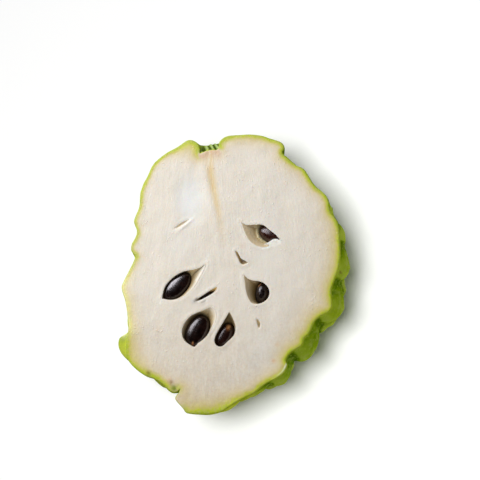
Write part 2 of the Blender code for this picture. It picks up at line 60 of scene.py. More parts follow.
OUTLINE = [
    (-12.0, 53.7), (-12.1, 55.6), (-12.7, 57.3), (-13.9, 58.8), (-15.3, 59.8), (-17.0, 60.2),
    (-18.7, 59.8), (-20.4, 58.7), (-22.5, 57.4), (-24.9, 56.2), (-27.3, 55.1), (-29.7, 53.6),
    (-31.9, 52.0), (-33.8, 50.3), (-35.2, 48.4), (-36.1, 46.4), (-37.3, 43.8), (-38.8, 41.3),
    (-39.7, 39.0), (-40.5, 36.4), (-40.7, 33.6), (-40.8, 31.1), (-41.5, 28.3), (-42.7, 25.7),
    (-43.4, 23.2), (-42.8, 21.1), (-42.0, 19.2), (-42.1, 17.1), (-43.0, 15.0), (-44.2, 13.0),
    (-44.6, 11.1), (-44.5, 9.5), (-43.1, 7.9), (-42.2, 6.8), (-43.0, 5.3), (-44.0, 3.2),
    (-45.2, 0.9), (-46.5, -1.6), (-47.9, -4.3), (-48.9, -6.8), (-48.5, -9.3), (-47.5, -12.1),
    (-46.7, -15.1), (-46.1, -18.6), (-45.7, -22.3), (-45.4, -25.5), (-45.6, -28.2), (-46.1, -30.9),
    (-46.4, -34.1), (-46.3, -37.0), (-45.7, -39.6), (-44.2, -42.0), (-42.2, -44.0), (-39.8, -45.9),
    (-37.2, -47.4), (-34.3, -48.5), (-31.7, -49.7), (-29.3, -51.1), (-27.2, -52.9), (-25.3, -54.6),
    (-23.5, -55.3), (-21.8, -54.9), (-20.9, -53.8), (-21.2, -55.3), (-22.4, -56.7), (-22.9, -58.1),
    (-22.0, -59.6), (-20.5, -61.2), (-19.1, -62.8), (-18.0, -64.3), (-15.7, -64.9), (-12.7, -65.1),
    (-9.5, -65.2), (-6.3, -65.0), (-3.1, -64.5), (-0.6, -63.5), (1.9, -62.0), (4.7, -60.3),
    (7.4, -58.7), (10.1, -57.5), (12.4, -56.5), (14.4, -55.2), (16.7, -53.3), (19.0, -51.7),
    (21.5, -50.5), (23.9, -49.4), (25.9, -48.1), (27.4, -46.2), (28.2, -44.5), (28.0, -43.2),
    (27.6, -42.1), (28.1, -40.6), (29.4, -39.0), (31.4, -37.5), (33.7, -36.3), (35.1, -35.2),
    (35.5, -33.7), (36.0, -32.2), (37.7, -30.7), (38.9, -28.9), (39.6, -27.0), (40.8, -24.9),
    (42.9, -23.2), (45.4, -21.9), (47.4, -20.7), (48.4, -19.0), (48.4, -16.4), (48.2, -13.7),
    (48.1, -11.5), (48.8, -9.3), (49.9, -6.5), (51.1, -3.4), (51.9, -0.1), (52.4, 3.5),
    (52.4, 6.6), (52.3, 9.7), (52.2, 12.9), (51.9, 16.0), (51.3, 18.7), (50.0, 21.0),
    (48.6, 22.9), (47.8, 25.0), (47.6, 27.3), (47.0, 29.6), (45.8, 31.6), (43.7, 33.5),
    (41.8, 35.1), (40.2, 37.1), (38.9, 39.3), (37.8, 41.3), (36.5, 43.3), (34.9, 44.5),
    (32.9, 45.4), (30.8, 47.2), (28.8, 49.1), (27.1, 50.7), (26.5, 51.9), (27.1, 53.0),
    (27.4, 54.1), (26.9, 55.6), (25.3, 56.9), (23.1, 57.8), (20.3, 58.8), (17.3, 60.0),
    (14.0, 60.7), (10.7, 61.1), (7.4, 61.1), (4.1, 61.1), (1.3, 61.0), (-0.7, 60.3),
    (-2.2, 59.1), (-3.1, 57.7), (-3.2, 55.8), (-4.4, 54.8), (-6.7, 55.0), (-8.6, 54.8),
    (-10.5, 54.1),
]
BODY = [
    (-8.0, 60.2), (-25.0, 55.2), (-36.6, 43.5), (-41.6, 28.0), (-43.8, 12.0), (-46.2, -4.0),
    (-46.8, -20.0), (-45.4, -34.0), (-37.2, -45.4), (-27.2, -52.6), (-18.4, -58.8), (-8.0, -62.6),
    (0.9, -59.6), (8.8, -56.4), (17.9, -52.0), (27.4, -46.7), (34.7, -38.5), (42.1, -30.6),
    (47.7, -21.7), (51.3, -11.2), (52.6, 0.0), (52.4, 13.0), (46.1, 24.6), (40.3, 34.8),
    (32.3, 43.7), (23.9, 52.2), (14.0, 58.8), (3.0, 60.6),
]
SWELLING = ((-46.4, -31.4, -5.0), 4.6, 4.8)
# folds that run down from notches in the cut edge: bearing in degrees, half width, extra height
FOLDS = [(14.5, 2.8, -1.6), (-6.5, 2.6, -1.5), (-33.0, 3.8, -3.4), (-56.0, 3.0, -2.4), (-82.0, 5.0, -0.8)]
RIM_WARTS = [
    (-16.3, 58.7, 3.0), (-26.3, 54.6, 4.0), (-36.4, 46.7, 4.0), (-42.0, 28.6, 4.0),
    (-43.7, 11.9, 4.0), (-47.7, -7.0, 3.5), (-45.8, -20.9, 4.5), (-46.9, -34.7, 5.5),
    (-39.6, -45.6, 4.0), (-28.2, -52.7, 4.0), (-22.5, -59.0, 3.5), (-9.5, -64.2, 4.5),
    (2.0, -60.0, 10.0), (11.5, -56.0, 10.0), (25.4, -48.6, 11.0), (37.6, -36.4, 12.0),
    (50.5, -15.9, 12.0), (52.8, 2.3, 11.0), (50.8, 17.5, 10.0), (46.4, 28.0, 6.0),
    (41.9, 35.6, 5.0), (37.0, 42.9, 4.5), (30.6, 47.9, 4.5), (24.7, 56.3, 4.0),
    (13.0, 60.8, 4.5), (1.8, 60.9, 4.5),
]

# seeds: centre; half length, half width, half height; bearing of the length
SEEDS = {
    "seed_upper_right": ((20.9, 15.0, -4.5), (6.6, 4.0, 3.6), -30.0),
    "seed_left": ((-23.5, -7.3, -3.3), (8.2, 4.5, 2.8), 44.0),
    "seed_centre": ((-9.5, -12.3, -4.6), (3.7, 2.4, 3.4), 29.0),
    "seed_lower_left": ((-13.8, -28.0, -3.7), (8.2, 5.3, 3.2), 66.0),
    "seed_lower_middle": ((-1.2, -30.3, -4.9), (6.3, 4.1, 3.9), 64.0),
    "seed_right": ((16.7, -11.2, -6.6), (3.6, 5.2, 5.8), -8.0),
}
POCKETS = {
    "seed_upper_right": [
        (7.0, 21.1), (8.3, 19.9), (10.0, 19.3), (12.5, 19.3), (15.3, 19.3), (17.6, 18.9),
        (19.2, 17.7), (20.8, 16.3), (22.4, 15.1), (23.9, 13.7), (25.2, 11.8), (23.9, 12.3),
        (22.3, 12.3), (21.1, 11.6), (19.9, 10.9), (18.9, 10.5), (19.6, 9.8), (20.1, 9.2), (18.5, 8.6), (16.4, 8.8), (14.1, 9.6),
        (11.8, 11.2), (10.1, 13.3), (8.8, 16.0), (7.8, 18.6)],
    "seed_left": [
        (-29.5, -12.8), (-29.1, -10.1), (-28.0, -7.2), (-25.9, -4.7), (-23.2, -2.6), (-20.2, -1.1),
        (-17.4, -0.4), (-15.0, -0.1), (-12.5, 0.5), (-10.5, 1.2), (-8.8, 2.4), (-9.5, -0.1),
        (-11.1, -2.9), (-12.6, -5.6), (-14.1, -7.9), (-16.5, -10.4), (-19.1, -12.4), (-22.4, -13.5),
        (-26.0, -13.6), (-28.4, -13.1)],
    "seed_centre": [
        (-13.6, -14.4), (-12.1, -13.1), (-9.8, -11.7), (-7.4, -10.2), (-5.6, -9.2), (-3.7, -8.4),
        (-3.9, -9.7), (-5.3, -10.9), (-6.9, -11.9), (-9.3, -13.1), (-11.4, -14.1)],
    "seed_lower_left": [
        (-6.2, -17.1), (-4.8, -18.0), (-3.9, -20.1), (-3.9, -22.5), (-4.9, -25.1), (-6.5, -27.8),
        (-8.2, -30.1), (-10.4, -32.2), (-12.4, -33.5), (-13.7, -34.9), (-14.7, -35.0), (-16.3, -34.2),
        (-18.5, -32.5), (-19.8, -30.3), (-20.1, -27.9), (-19.5, -25.4), (-18.1, -23.2), (-16.2, -21.3),
        (-13.6, -20.0), (-10.8, -19.0), (-8.4, -17.9)],
    "seed_lower_middle": [
        (2.1, -19.8), (3.3, -21.8), (4.2, -24.0), (4.9, -26.3), (4.9, -28.5), (4.2, -30.3),
        (2.8, -31.8), (1.0, -33.3), (-0.6, -34.8), (-2.2, -35.3), (-3.9, -34.7), (-4.8, -33.2),
        (-4.7, -31.4), (-4.0, -29.7), (-2.7, -27.4), (-1.3, -25.2), (0.0, -23.0), (1.2, -21.1)],
    "seed_right": [
        (8.5, -3.3), (10.2, -4.9), (12.5, -5.9), (15.2, -6.4), (17.5, -7.2), (19.3, -8.8),
        (20.3, -10.6), (20.3, -12.9), (19.1, -14.9), (17.0, -16.2), (14.8, -16.7), (12.6, -16.4),
        (11.3, -15.2), (10.2, -13.0), (9.4, -10.3), (9.0, -7.1)],
}
# how a pocket's mouth draws in to the seed: part of the way down to the seed's widest level,
# part of the distance between the seed's outline and the mouth that is still left
POCKET_STEPS = [(0.0, 1.0), (0.04, 0.93), (0.08, 0.84), (0.20, 0.64), (0.45, 0.36), (0.75, 0.14), (1.0, 0.03)]
POCKET_BOWL = [0.20, 0.40, 0.60, 0.80, 0.92]
# a strip of the seed's pale sac standing round the left end of the upper right seed, mm
COLLAR = [(15.1, 19.6), (14.7, 17.9), (14.8, 16.0), (15.4, 14.3), (16.6, 13.1), (18.1, 12.2), (19.1, 11.6)]
SEED_GAP = 0.12
FLOOR_GAP = 0.5
# clefts: outline, depth, and a gain on how fast their walls turn brown and dark downwards, partly the flesh's colour
# and partly painted shade
CLEFTS = [
    ([(-24.1, 19.0), (-22.7, 20.3), (-21.0, 21.5), (-19.1, 22.4), (-17.0, 23.2), (-18.3, 21.9),
      (-20.3, 20.5), (-22.2, 19.3)], 0.6, 1.6),
    ([(4.6, 7.7), (5.7, 7.2), (6.5, 5.7), (7.5, 4.0), (9.1, 3.0), (10.6, 1.9), (9.4, 1.4),
      (8.2, 1.2), (7.0, 2.1), (6.2, 3.9), (5.3, 5.7)], 1.5, 3.4),
    ([(14.4, -23.3), (15.7, -24.0), (16.3, -25.6), (15.9, -27.6), (15.1, -26.6), (14.7, -24.9)], 0.9, 2.6),
]
# small brown or peach blemishes on the cut face: x, y, radius, strength
SPOTS = [(22.2, -42.1, 0.9, 0.45), (8.0, 9.9, 1.0, 0.22), (24.0, -35.0, 1.0, 0.25), (-31.5, -27.0, 0.8, 0.20),
         (-25.6, -50.0, 1.5, 0.25)]
BROWNS = [(-35.6, -46.3, 0.75, 0.85), (-24.9, -51.0, 1.0, 0.75), (26.6, -44.6, 0.6, 0.2)]
# where the skin's green runs in over the flesh, and where the flesh is greyish blue: x, y, radius, strength
OLIVES = [(-23.4, -53.4, 1.5, 1.0), (-35.2, -46.9, 1.1, 0.5)]
BRUISES = [(-15.0, -14.8, 1.3, 0.30), (10.9, 3.0, 1.7, 0.16), (-10.0, -15.9, 1.0, 0.12)]
# grey creases and smudges, and painted shadow just below the left end of the flap by the upper right seed: points along
# each, half width, strength
SMUDGES_AND_SHADOWS = [
    ([(-13.9, -14.4), (-13.0, -13.7)], 0.75, 0.75),
    ([(-10.9, -15.3), (-9.9, -14.9), (-8.9, -14.4)], 0.28, 0.45),
    ([(18.3, 9.6), (19.1, 9.5), (19.9, 9.7)], 0.36, 0.85),
    ([(21.6, 11.1), (23.8, 10.9)], 0.24, 0.40),
    ([(25.1, 12.6), (25.9, 11.4)], 0.18, 0.55),
]
# painted highlights: light lines along rims and lips that catch the light, and on the white flap below the upper right
# seed, whose own colour is painted lighter still: points along each, half width, strength
GLINTS = [
    ([(28.0, -43.6), (26.7, -46.2), (25.1, -47.9), (23.3, -49.2), (20.9, -50.5)], 0.32, 0.95),
    ([(20.9, -50.5), (18.2, -51.8), (15.6, -53.5), (12.2, -55.6)], 0.28, 0.45),
    ([(8.2, -57.4), (5.1, -59.0), (1.0, -61.6)], 0.30, 0.40),
    ([(18.2, 10.4), (20.1, 10.5), (21.3, 11.6), (23.0, 11.8), (24.2, 12.1), (25.3, 11.3), (25.4, 10.2)], 0.42, 1.0),
    ([(20.6, 10.4), (22.5, 11.0), (24.6, 10.8)], 0.85, 0.75),
    ([(17.3, 8.2), (20.3, 8.7), (22.4, 9.5), (24.9, 9.9)], 0.34, 0.85),
    ([(-12.6, -15.0), (-10.0, -13.8), (-7.6, -12.5), (-6.3, -11.6)], 0.32, 0.9),
    ([(-5.5, -12.3), (-5.0, -12.4)], 0.34, 0.9),
    ([(-8.8, -14.7), (-8.4, -14.5)], 0.34, 0.7),
    ([(-22.2, -53.3), (-21.5, -53.9)], 0.36, 1.0),
    ([(-29.6, -13.2), (-30.5, -15.0)], 0.30, 0.6),
    ([(-7.9, 6.4), (-8.9, 3.2), (-10.3, 0.2), (-11.8, -2.4), (-13.6, -5.0)], 0.42, 0.55),
    ([(-3.0, -17.2), (-2.9, -19.8), (-3.5, -22.6), (-4.9, -25.8), (-6.3, -28.8)], 0.45, 0.45),
    ([(-7.5, 54.2), (-7.8, 50.5), (-8.0, 47.5)], 0.55, 0.45),
]




# ================================================================ small tools
def smoothstep(x):
    x = np.clip(x, 0, 1)
    return x * x * (3 - 2 * x)


def hash01(i, j, k, seed):
    """A repeatable number from 0 to 1 for each lattice point."""
    n = (i.astype(np.int64) * 374761393 + j.astype(np.int64) * 668265263 + k.astype(np.int64) * 2147483647 + seed * 1274126177)
    n = (n ^ (n >> 13)) & 0xFFFFFFFF
    n = (n * 1274126177) & 0xFFFFFFFF
    n = (n ^ (n >> 16)) & 0xFFFFFFFF
    return n / 4294967295.0


def value_noise(points, scale, seed=0):
    """Smooth noise from -1 to 1; scale is the size of its features in the points' own unit."""
    p = np.asarray(points, float) / scale
    if p.shape[1] == 2:
        p = np.column_stack([p, np.zeros(len(p))])
    cell = np.floor(p).astype(np.int64)
    f = p - cell
    f = f * f * f * (f * (f * 6 - 15) + 10)
    total = np.zeros(len(p))
    for dx in (0, 1):
        for dy in (0, 1):
            for dz in (0, 1):
                weight = (f[:, 0] if dx else 1 - f[:, 0]) * (f[:, 1] if dy else 1 - f[:, 1]) * (f[:, 2] if dz else 1 - f[:, 2])
                total += weight * hash01(cell[:, 0] + dx, cell[:, 1] + dy, cell[:, 2] + dz, seed)
    return total * 2 - 1


def closed_spline(points, count, weight=None):
    """Points along a smooth closed curve through the given ones, evenly spaced or crowded by a weight."""
    p = np.array(points, float)
    a, b, c, d = np.roll(p, 1, 0), p, np.roll(p, -1, 0), np.roll(p, -2, 0)
    fine = []
    for t in np.linspace(0, 1, 24, endpoint=False):
        fine.append(0.5 * (2 * b + (c - a) * t + (2 * a - 5 * b + 4 * c - d) * t**2 + (3 * b - a - 3 * c + d) * t**3))
    fine = np.stack(fine, 1).reshape(-1, 2)
    step = np.linalg.norm(np.roll(fine, -1, 0) - fine, axis=1)
    length = step.sum()
    if weight is not None:
        step = step * weight(fine)
    along = np.concatenate([[0], np.cumsum(step)])
    loop = np.vstack([fine, fine[:1]])
    at = np.arange(count) * along[-1] / count
    return np.stack([np.interp(at, along, loop[:, k]) for k in (0, 1)], 1), length


def polyline_distance(points, loop, chunk=3000):
    """Distance from each point to a closed polyline, and which segment is nearest."""
    a = loop
    b = np.roll(loop, -1, 0)
    ab = b - a
    size = (ab**2).sum(1)
    best = np.empty(len(points))
    which = np.empty(len(points), int)
    for i in range(0, len(points), chunk):
        p = points[i:i + chunk]
        ap = p[:, None] - a[None]
        t = np.clip((ap * ab[None]).sum(2) / size[None], 0, 1)
        far = ((ap - t[:, :, None] * ab[None]) ** 2).sum(2)
        which[i:i + chunk] = far.argmin(1)
        best[i:i + chunk] = np.sqrt(far.min(1))
    return best, which


def inside(points, loop):
    """Which points lie inside a closed polyline."""
    x, y = points[:, 0], points[:, 1]
    hit = np.zeros(len(points), bool)
    for (ax, ay), (bx, by) in zip(loop, np.roll(loop, -1, 0)):
        if ay == by:
            continue
        crosses = ((ay > y) != (by > y)) & (x < (bx - ax) * (y - ay) / (by - ay) + ax)
        hit ^= crosses
    return hit


def signed_area(loop):
    x, y = loop[:, 0], loop[:, 1]
    return float((x * np.roll(y, -1) - np.roll(x, -1) * y).sum() / 2)


# ================================================================ the rind
def smooth_closed(points, length_at, length):
    """The closed curve without its detail: a Gaussian average along it, for uneven spacing too."""
    total = length_at[-1]
    s = length_at[:-1]
    gap = np.abs(s[:, None] - s[None])
    gap = np.minimum(gap, total - gap)
    share = (np.roll(length_at[:-1], -1) - np.roll(length_at[:-1], 1)) % total
    weight = np.exp(-0.5 * (gap / length) ** 2) * share[None]
    weight /= weight.sum(1)[:, None]
    return weight @ points


def crowding(points):
    """More points where the outline is sharp: the stem hollow, the notch at lower left, the right corner."""
    dense = np.ones(len(points))
    for (x, y), reach, much in (((-7.7, 57.5), 8.0, 2.2), ((-21.8, -56.5), 4.5, 1.6), ((28.0, -43.0), 3.5, 1.0),
                                ((-46.5, -29.5), 4.0, 0.8), ((26.8, 53.0), 3.0, 0.8)):
        dense += much * np.exp(-((points - np.array([x, y])) ** 2).sum(1) / (2 * (reach / 1.6) ** 2))
    return dense


def wart_centres(body):
    """Where the warts sit, their direction to the tip, and their narrowness, in mm."""
    polar = np.arctan2(body[:, 1], body[:, 0])
    order = np.argsort(polar)
    radius_at = lambda a: np.interp(a, polar[order], np.linalg.norm(body, axis=1)[order], period=2 * math.pi)

    angle = np.linspace(0, math.pi, 2000)
    crowded = 0.55 + 0.45 * smoothstep((angle - 0.35) / 0.7)
    total = np.cumsum(crowded * np.sin(angle))
    total /= total[-1]
    rng = np.random.default_rng(7)
    down = np.interp((np.arange(WARTS) + 0.5) / WARTS, total, angle)
    around = np.arange(WARTS) * GOLDEN + rng.uniform(-0.12, 0.12, WARTS) / np.maximum(np.sin(down), 0.2)
    down = down + rng.uniform(-0.02, 0.02, WARTS)

    points = []
    for theta, phi in zip(down, around):
        x, y, z = math.sin(theta) * math.cos(phi), math.cos(theta), math.sin(theta) * math.sin(phi)
        x -= 0.14 * y * y
        flat = math.hypot(x, y)
        reach = radius_at(math.atan2(y, x))
        t = math.atan2(z * reach, flat * BACK)
        points.append((reach * math.cos(t) * x / flat, reach * math.cos(t) * y / flat, -CHEEK + BACK * math.sin(t)))
    points = np.array(points)
    rim = np.array([(x, y, -z) for x, y, z in RIM_WARTS])
    room = np.where(rim[:, 2] < -9.0, 12.5, 7.6)
    clear = np.min(np.linalg.norm(points[:, None] - rim[None], axis=2) - room[None], axis=1)
    points = points[(points[:, 2] < -8.5) & (clear > 0)]
    points = np.vstack([rim, points])

    stem = np.array([-7.7, 56.0, -CHEEK])
    tip = np.array([-9.0, -66.0, -CHEEK])
    away = points - stem
    from_stem = np.linalg.norm(away, axis=1)
    to_tip = tip - points
    heading = away / from_stem[:, None] + to_tip / np.linalg.norm(to_tip, axis=1)[:, None]
    heading /= np.linalg.norm(heading, axis=1)[:, None]
    narrow = PETAL + (0.9 - PETAL) * smoothstep((from_stem - 16) / 75)
    return points, heading, narrow


def wart_field(where, centres, heading, narrow):
    """For each point: height, distance to the groove, the wart it is on, and its place along the wart."""
    n = len(where)
    height, groove, owner, along_own, side_own = (np.empty(n) for _ in range(5))
    for i in range(0, n, 1500):
        gap = where[i:i + 1500, None] - centres[None]
        along = np.einsum("ijk,jk->ij", gap, heading)
        square = (gap**2).sum(2)
        far = np.sqrt(np.maximum(square - (1 - narrow[None] ** 2) * along**2, 0))
        rank = np.argpartition(far, 1, axis=1)[:, :2]
        first = far[np.arange(len(far)), rank[:, 0]]
        second = far[np.arange(len(far)), rank[:, 1]]
        swap = second < first
        own = np.where(swap, rank[:, 1], rank[:, 0])
        edge = np.abs(second - first) / 2
        a = along[np.arange(len(far)), own]
        s = np.sqrt(np.maximum(square[np.arange(len(far)), own] - a**2, 0))
        size = 5.9 / np.sqrt(narrow[own])
        place = np.clip(a / size, -1, 1)
        soft = np.sqrt(edge**2 + 0.10) - 0.316
        # the stem side of a wart rises slowly and its tip side drops steeply, like a scale
        reach = WART_REACH * (1.0 - 0.52 * place)
        dome = 1 - (1 - np.clip(soft / reach, 0, 1)) ** 2.4
        shape = dome * (0.62 + 0.52 * smoothstep((place + 0.9) / 1.5))
        beak = np.exp(-(((a - 0.42 * size) / 1.9) ** 2) - (s / 1.6) ** 2)
        height[i:i + 1500] = shape * WART_HEIGHT + 0.55 * beak * dome
        groove[i:i + 1500] = edge
        owner[i:i + 1500] = own
        along_own[i:i + 1500] = place
        side_own[i:i + 1500] = s
    return height, groove, owner.astype(int), along_own, side_own


def make_rind():
    """The rings of the rind from the cut edge down, with what the skin's colour needs at each point."""
    outline, _ = closed_spline(OUTLINE, SECTORS, crowding)
    step = np.linalg.norm(np.roll(outline, -1, 0) - outline, axis=1)
    along = np.concatenate([[0], np.cumsum(step)])
    guide = smooth_closed(outline, along, SMOOTH_LENGTH)
    round_body, _ = closed_spline(BODY, 1440)
    bearing = np.arctan2(round_body[:, 1], round_body[:, 0])
    order = np.argsort(bearing)
    here = np.arctan2(guide[:, 1], guide[:, 0])
    radius = np.interp(here, bearing[order], np.linalg.norm(round_body, axis=1)[order], period=2 * math.pi)
    body = np.column_stack([np.cos(here), np.sin(here)]) * radius[:, None]
    lobes = outline - body

    start = -math.asin(CHEEK / BACK)
    turns = start + (math.pi / 2 - start) * (np.linspace(0, 1, RINGS + 1)[:-1])
    rings, smooth = [], []
    for t in turns:
        depth = CHEEK + BACK * math.sin(t)
        keep = math.exp(-((depth / LOBE_DEPTH) ** 2))
        ring = body * math.cos(t) / math.cos(start) + lobes * keep
        rings.append(np.column_stack([ring, np.full(SECTORS, -depth)]))
        smooth.append(np.column_stack([body * math.cos(t) / math.cos(start), np.full(SECTORS, -depth)]))
    rings, smooth = np.array(rings), np.array(smooth)
    across = np.roll(smooth, -1, 1) - np.roll(smooth, 1, 1)
    down = np.gradient(smooth, axis=0)
    normal = np.cross(down, across)
    normal /= np.linalg.norm(normal, axis=2)[:, :, None]
    centres, heading, narrow = wart_centres(body)
    flat = smooth.reshape(-1, 3)
    # the grooves wander a little instead of running straight
    wander = np.column_stack([value_noise(flat, 7.0, 11), value_noise(flat, 7.0, 12), value_noise(flat, 7.0, 13)]) * 0.9
    wander += np.column_stack([value_noise(flat, 2.4, 14), value_noise(flat, 2.4, 15), value_noise(flat, 2.4, 16)]) * 0.25
    height, groove, owner, place, side = wart_field(flat + wander, centres, heading, narrow)
    depth = -smooth[:, :, 2]
    fade_in = 1 - np.exp(-((depth / LOBE_DEPTH) ** 2))
    spot, spread, extra = SWELLING
    swollen = extra * np.exp(-((smooth - np.array(spot)) ** 2).sum(2) / (2 * spread**2)) * smoothstep(depth / 3.5) * (1 - smoothstep((smooth[:, :, 1] + 30.0) / 2.8))
    facing = np.arctan2(smooth[:, :, 1], smooth[:, :, 0])
    for at, spread, extra in FOLDS:
        off = (facing - math.radians(at) + math.pi) % (2 * math.pi) - math.pi
        off = off * np.linalg.norm(smooth[:, :, :2], axis=2)
        swollen = swollen + extra * np.exp(-0.5 * (off / spread) ** 2) * smoothstep(depth / 12) * (1 - smoothstep((depth - 26) / 14))
    out = np.linalg.norm(smooth[:, :, :2], axis=2)
    fade_out = smoothstep((out - FLAT_RADIUS) / 9)
    height2 = height.reshape(RINGS, SECTORS)
    rough = (value_noise(flat, 2.6, 3) * 0.10 + value_noise(flat, 1.3, 4) * 0.035 + value_noise(flat, 14.0, 5) * 0.35).reshape(RINGS, SECTORS)
    lift = (height2 - 0.55 * WART_HEIGHT) * fade_in * fade_out + swollen + rough * fade_in * fade_out

    # ribs on the wall of the stem hollow
    hollow = np.exp(-((smooth[:, :, 0] + 7.7) / 5.2) ** 4) * (smooth[:, :, 1] > 30) * smoothstep(depth / 1.0) * (1 - smoothstep((depth - 5) / 5))
    ribs = 0.42 * np.cos((smooth[:, :, 0] + 8.2 + 0.42 * depth) * 2 * math.pi / 2.15 + value_noise(flat, 3.0, 9).reshape(RINGS, SECTORS) * 0.8)
    lift = lift * (1 - 0.6 * hollow) + ribs * hollow

    rings = rings + normal * lift[:, :, None]
    rings[0] = np.column_stack([outline, np.full(SECTORS, -0.13)])
    rings[1:, :, 2] = np.minimum(rings[1:, :, 2], -0.45 - 0.02 * np.arange(RINGS - 1)[:, None])
    rings[:, :, 2] = np.maximum(rings[:, :, 2] + CUT_HEIGHT, 0)
    # how far each point stands above its neighbours, for the painted highlight and shade on the skin
    around = sum(np.roll(height2, k, 1) for k in (-4, -2, 2, 4)) / 4
    above = (np.vstack([height2[:2], height2[:-2]]) + np.vstack([height2[2:], height2[-2:]])) / 2
    ridge = np.clip((height2 - 0.5 * around - 0.5 * above) / 0.22, -1, 1).reshape(-1)
    tip = np.exp(-(((place - 0.56) / 0.12) ** 2) - (side / (0.5 + 0.5 * hash01(owner, owner * 0, owner * 0 + 2, 6))) ** 2)
    chance = hash01(owner, owner * 0 + 3, owner * 0, 5)
    near_stem = smoothstep((80 - np.linalg.norm(flat - np.array([-7.7, 56.0, -CHEEK]), axis=1)) / 50)
    # where the painted shade along a groove lies
    crease = np.exp(-((groove / 0.55) ** 2)) * (0.40 + 0.60 * smoothstep((place + 0.3) / 0.9)) * (0.45 + 0.55 * near_stem)
    # painted highlight: a light spot on the top of the swelling at lower left
    dab = np.exp(-(((rings - np.array([-47.0, -28.7, CUT_HEIGHT - 3.2])) ** 2).sum(2)) / 2.4**2).reshape(-1)
    data = {
        "dab": dab, "groove": groove, "height": height, "wart": hash01(owner, owner * 0, owner * 0, 1),
        "speck": tip * (chance < 0.30 + 0.35 * near_stem), "crease": crease, "place": place, "under": depth.reshape(-1),
        "ridge": ridge, "hollow": hollow.reshape(-1), "rib": (ribs / 0.42 * hollow).reshape(-1),
    }
    return rings, {k: v.reshape(RINGS, SECTORS) for k, v in data.items()}, outline


# ================================================================ the pockets
def seed_section(name, z, gap):
    (cx, cy, cz), (half_length, half_width, half_height), turn = SEEDS[name]
    rise = 1 - ((z - cz) / (half_height + gap)) ** 2
    grown = math.sqrt(rise) if rise > 0 else 0
    return (half_length + gap) * grown, (half_width + gap) * grown


def pocket_ring(name, mouth, z, reach):
    """The mouth of a pocket drawn in towards the seed's outline, but never into the seed."""
    (cx, cy, cz), (half_length, half_width, _), turn = SEEDS[name]
    cos, sin = math.cos(math.radians(turn)), math.sin(math.radians(turn))
    long, wide = seed_section(name, z, SEED_GAP)
    rel = mouth - np.array([cx, cy])
    a = rel[:, 0] * cos + rel[:, 1] * sin
    b = -rel[:, 0] * sin + rel[:, 1] * cos
    out = np.hypot(a / (half_length + SEED_GAP), b / (half_width + SEED_GAP))
    size = np.where(out > 1, (1 + (out - 1) * reach) / np.maximum(out, 1e-6), 1)
    a, b = a * size, b * size
    if long > 0:
        within = np.hypot(a / long, b / wide)
        hug = (within < 1) | (z < cz)
        size = np.where(hug, 1 / np.maximum(within, 1e-6), 1)
        a, b = a * size, b * size
    return np.column_stack([cx + a * cos - b * sin, cy + a * sin + b * cos])


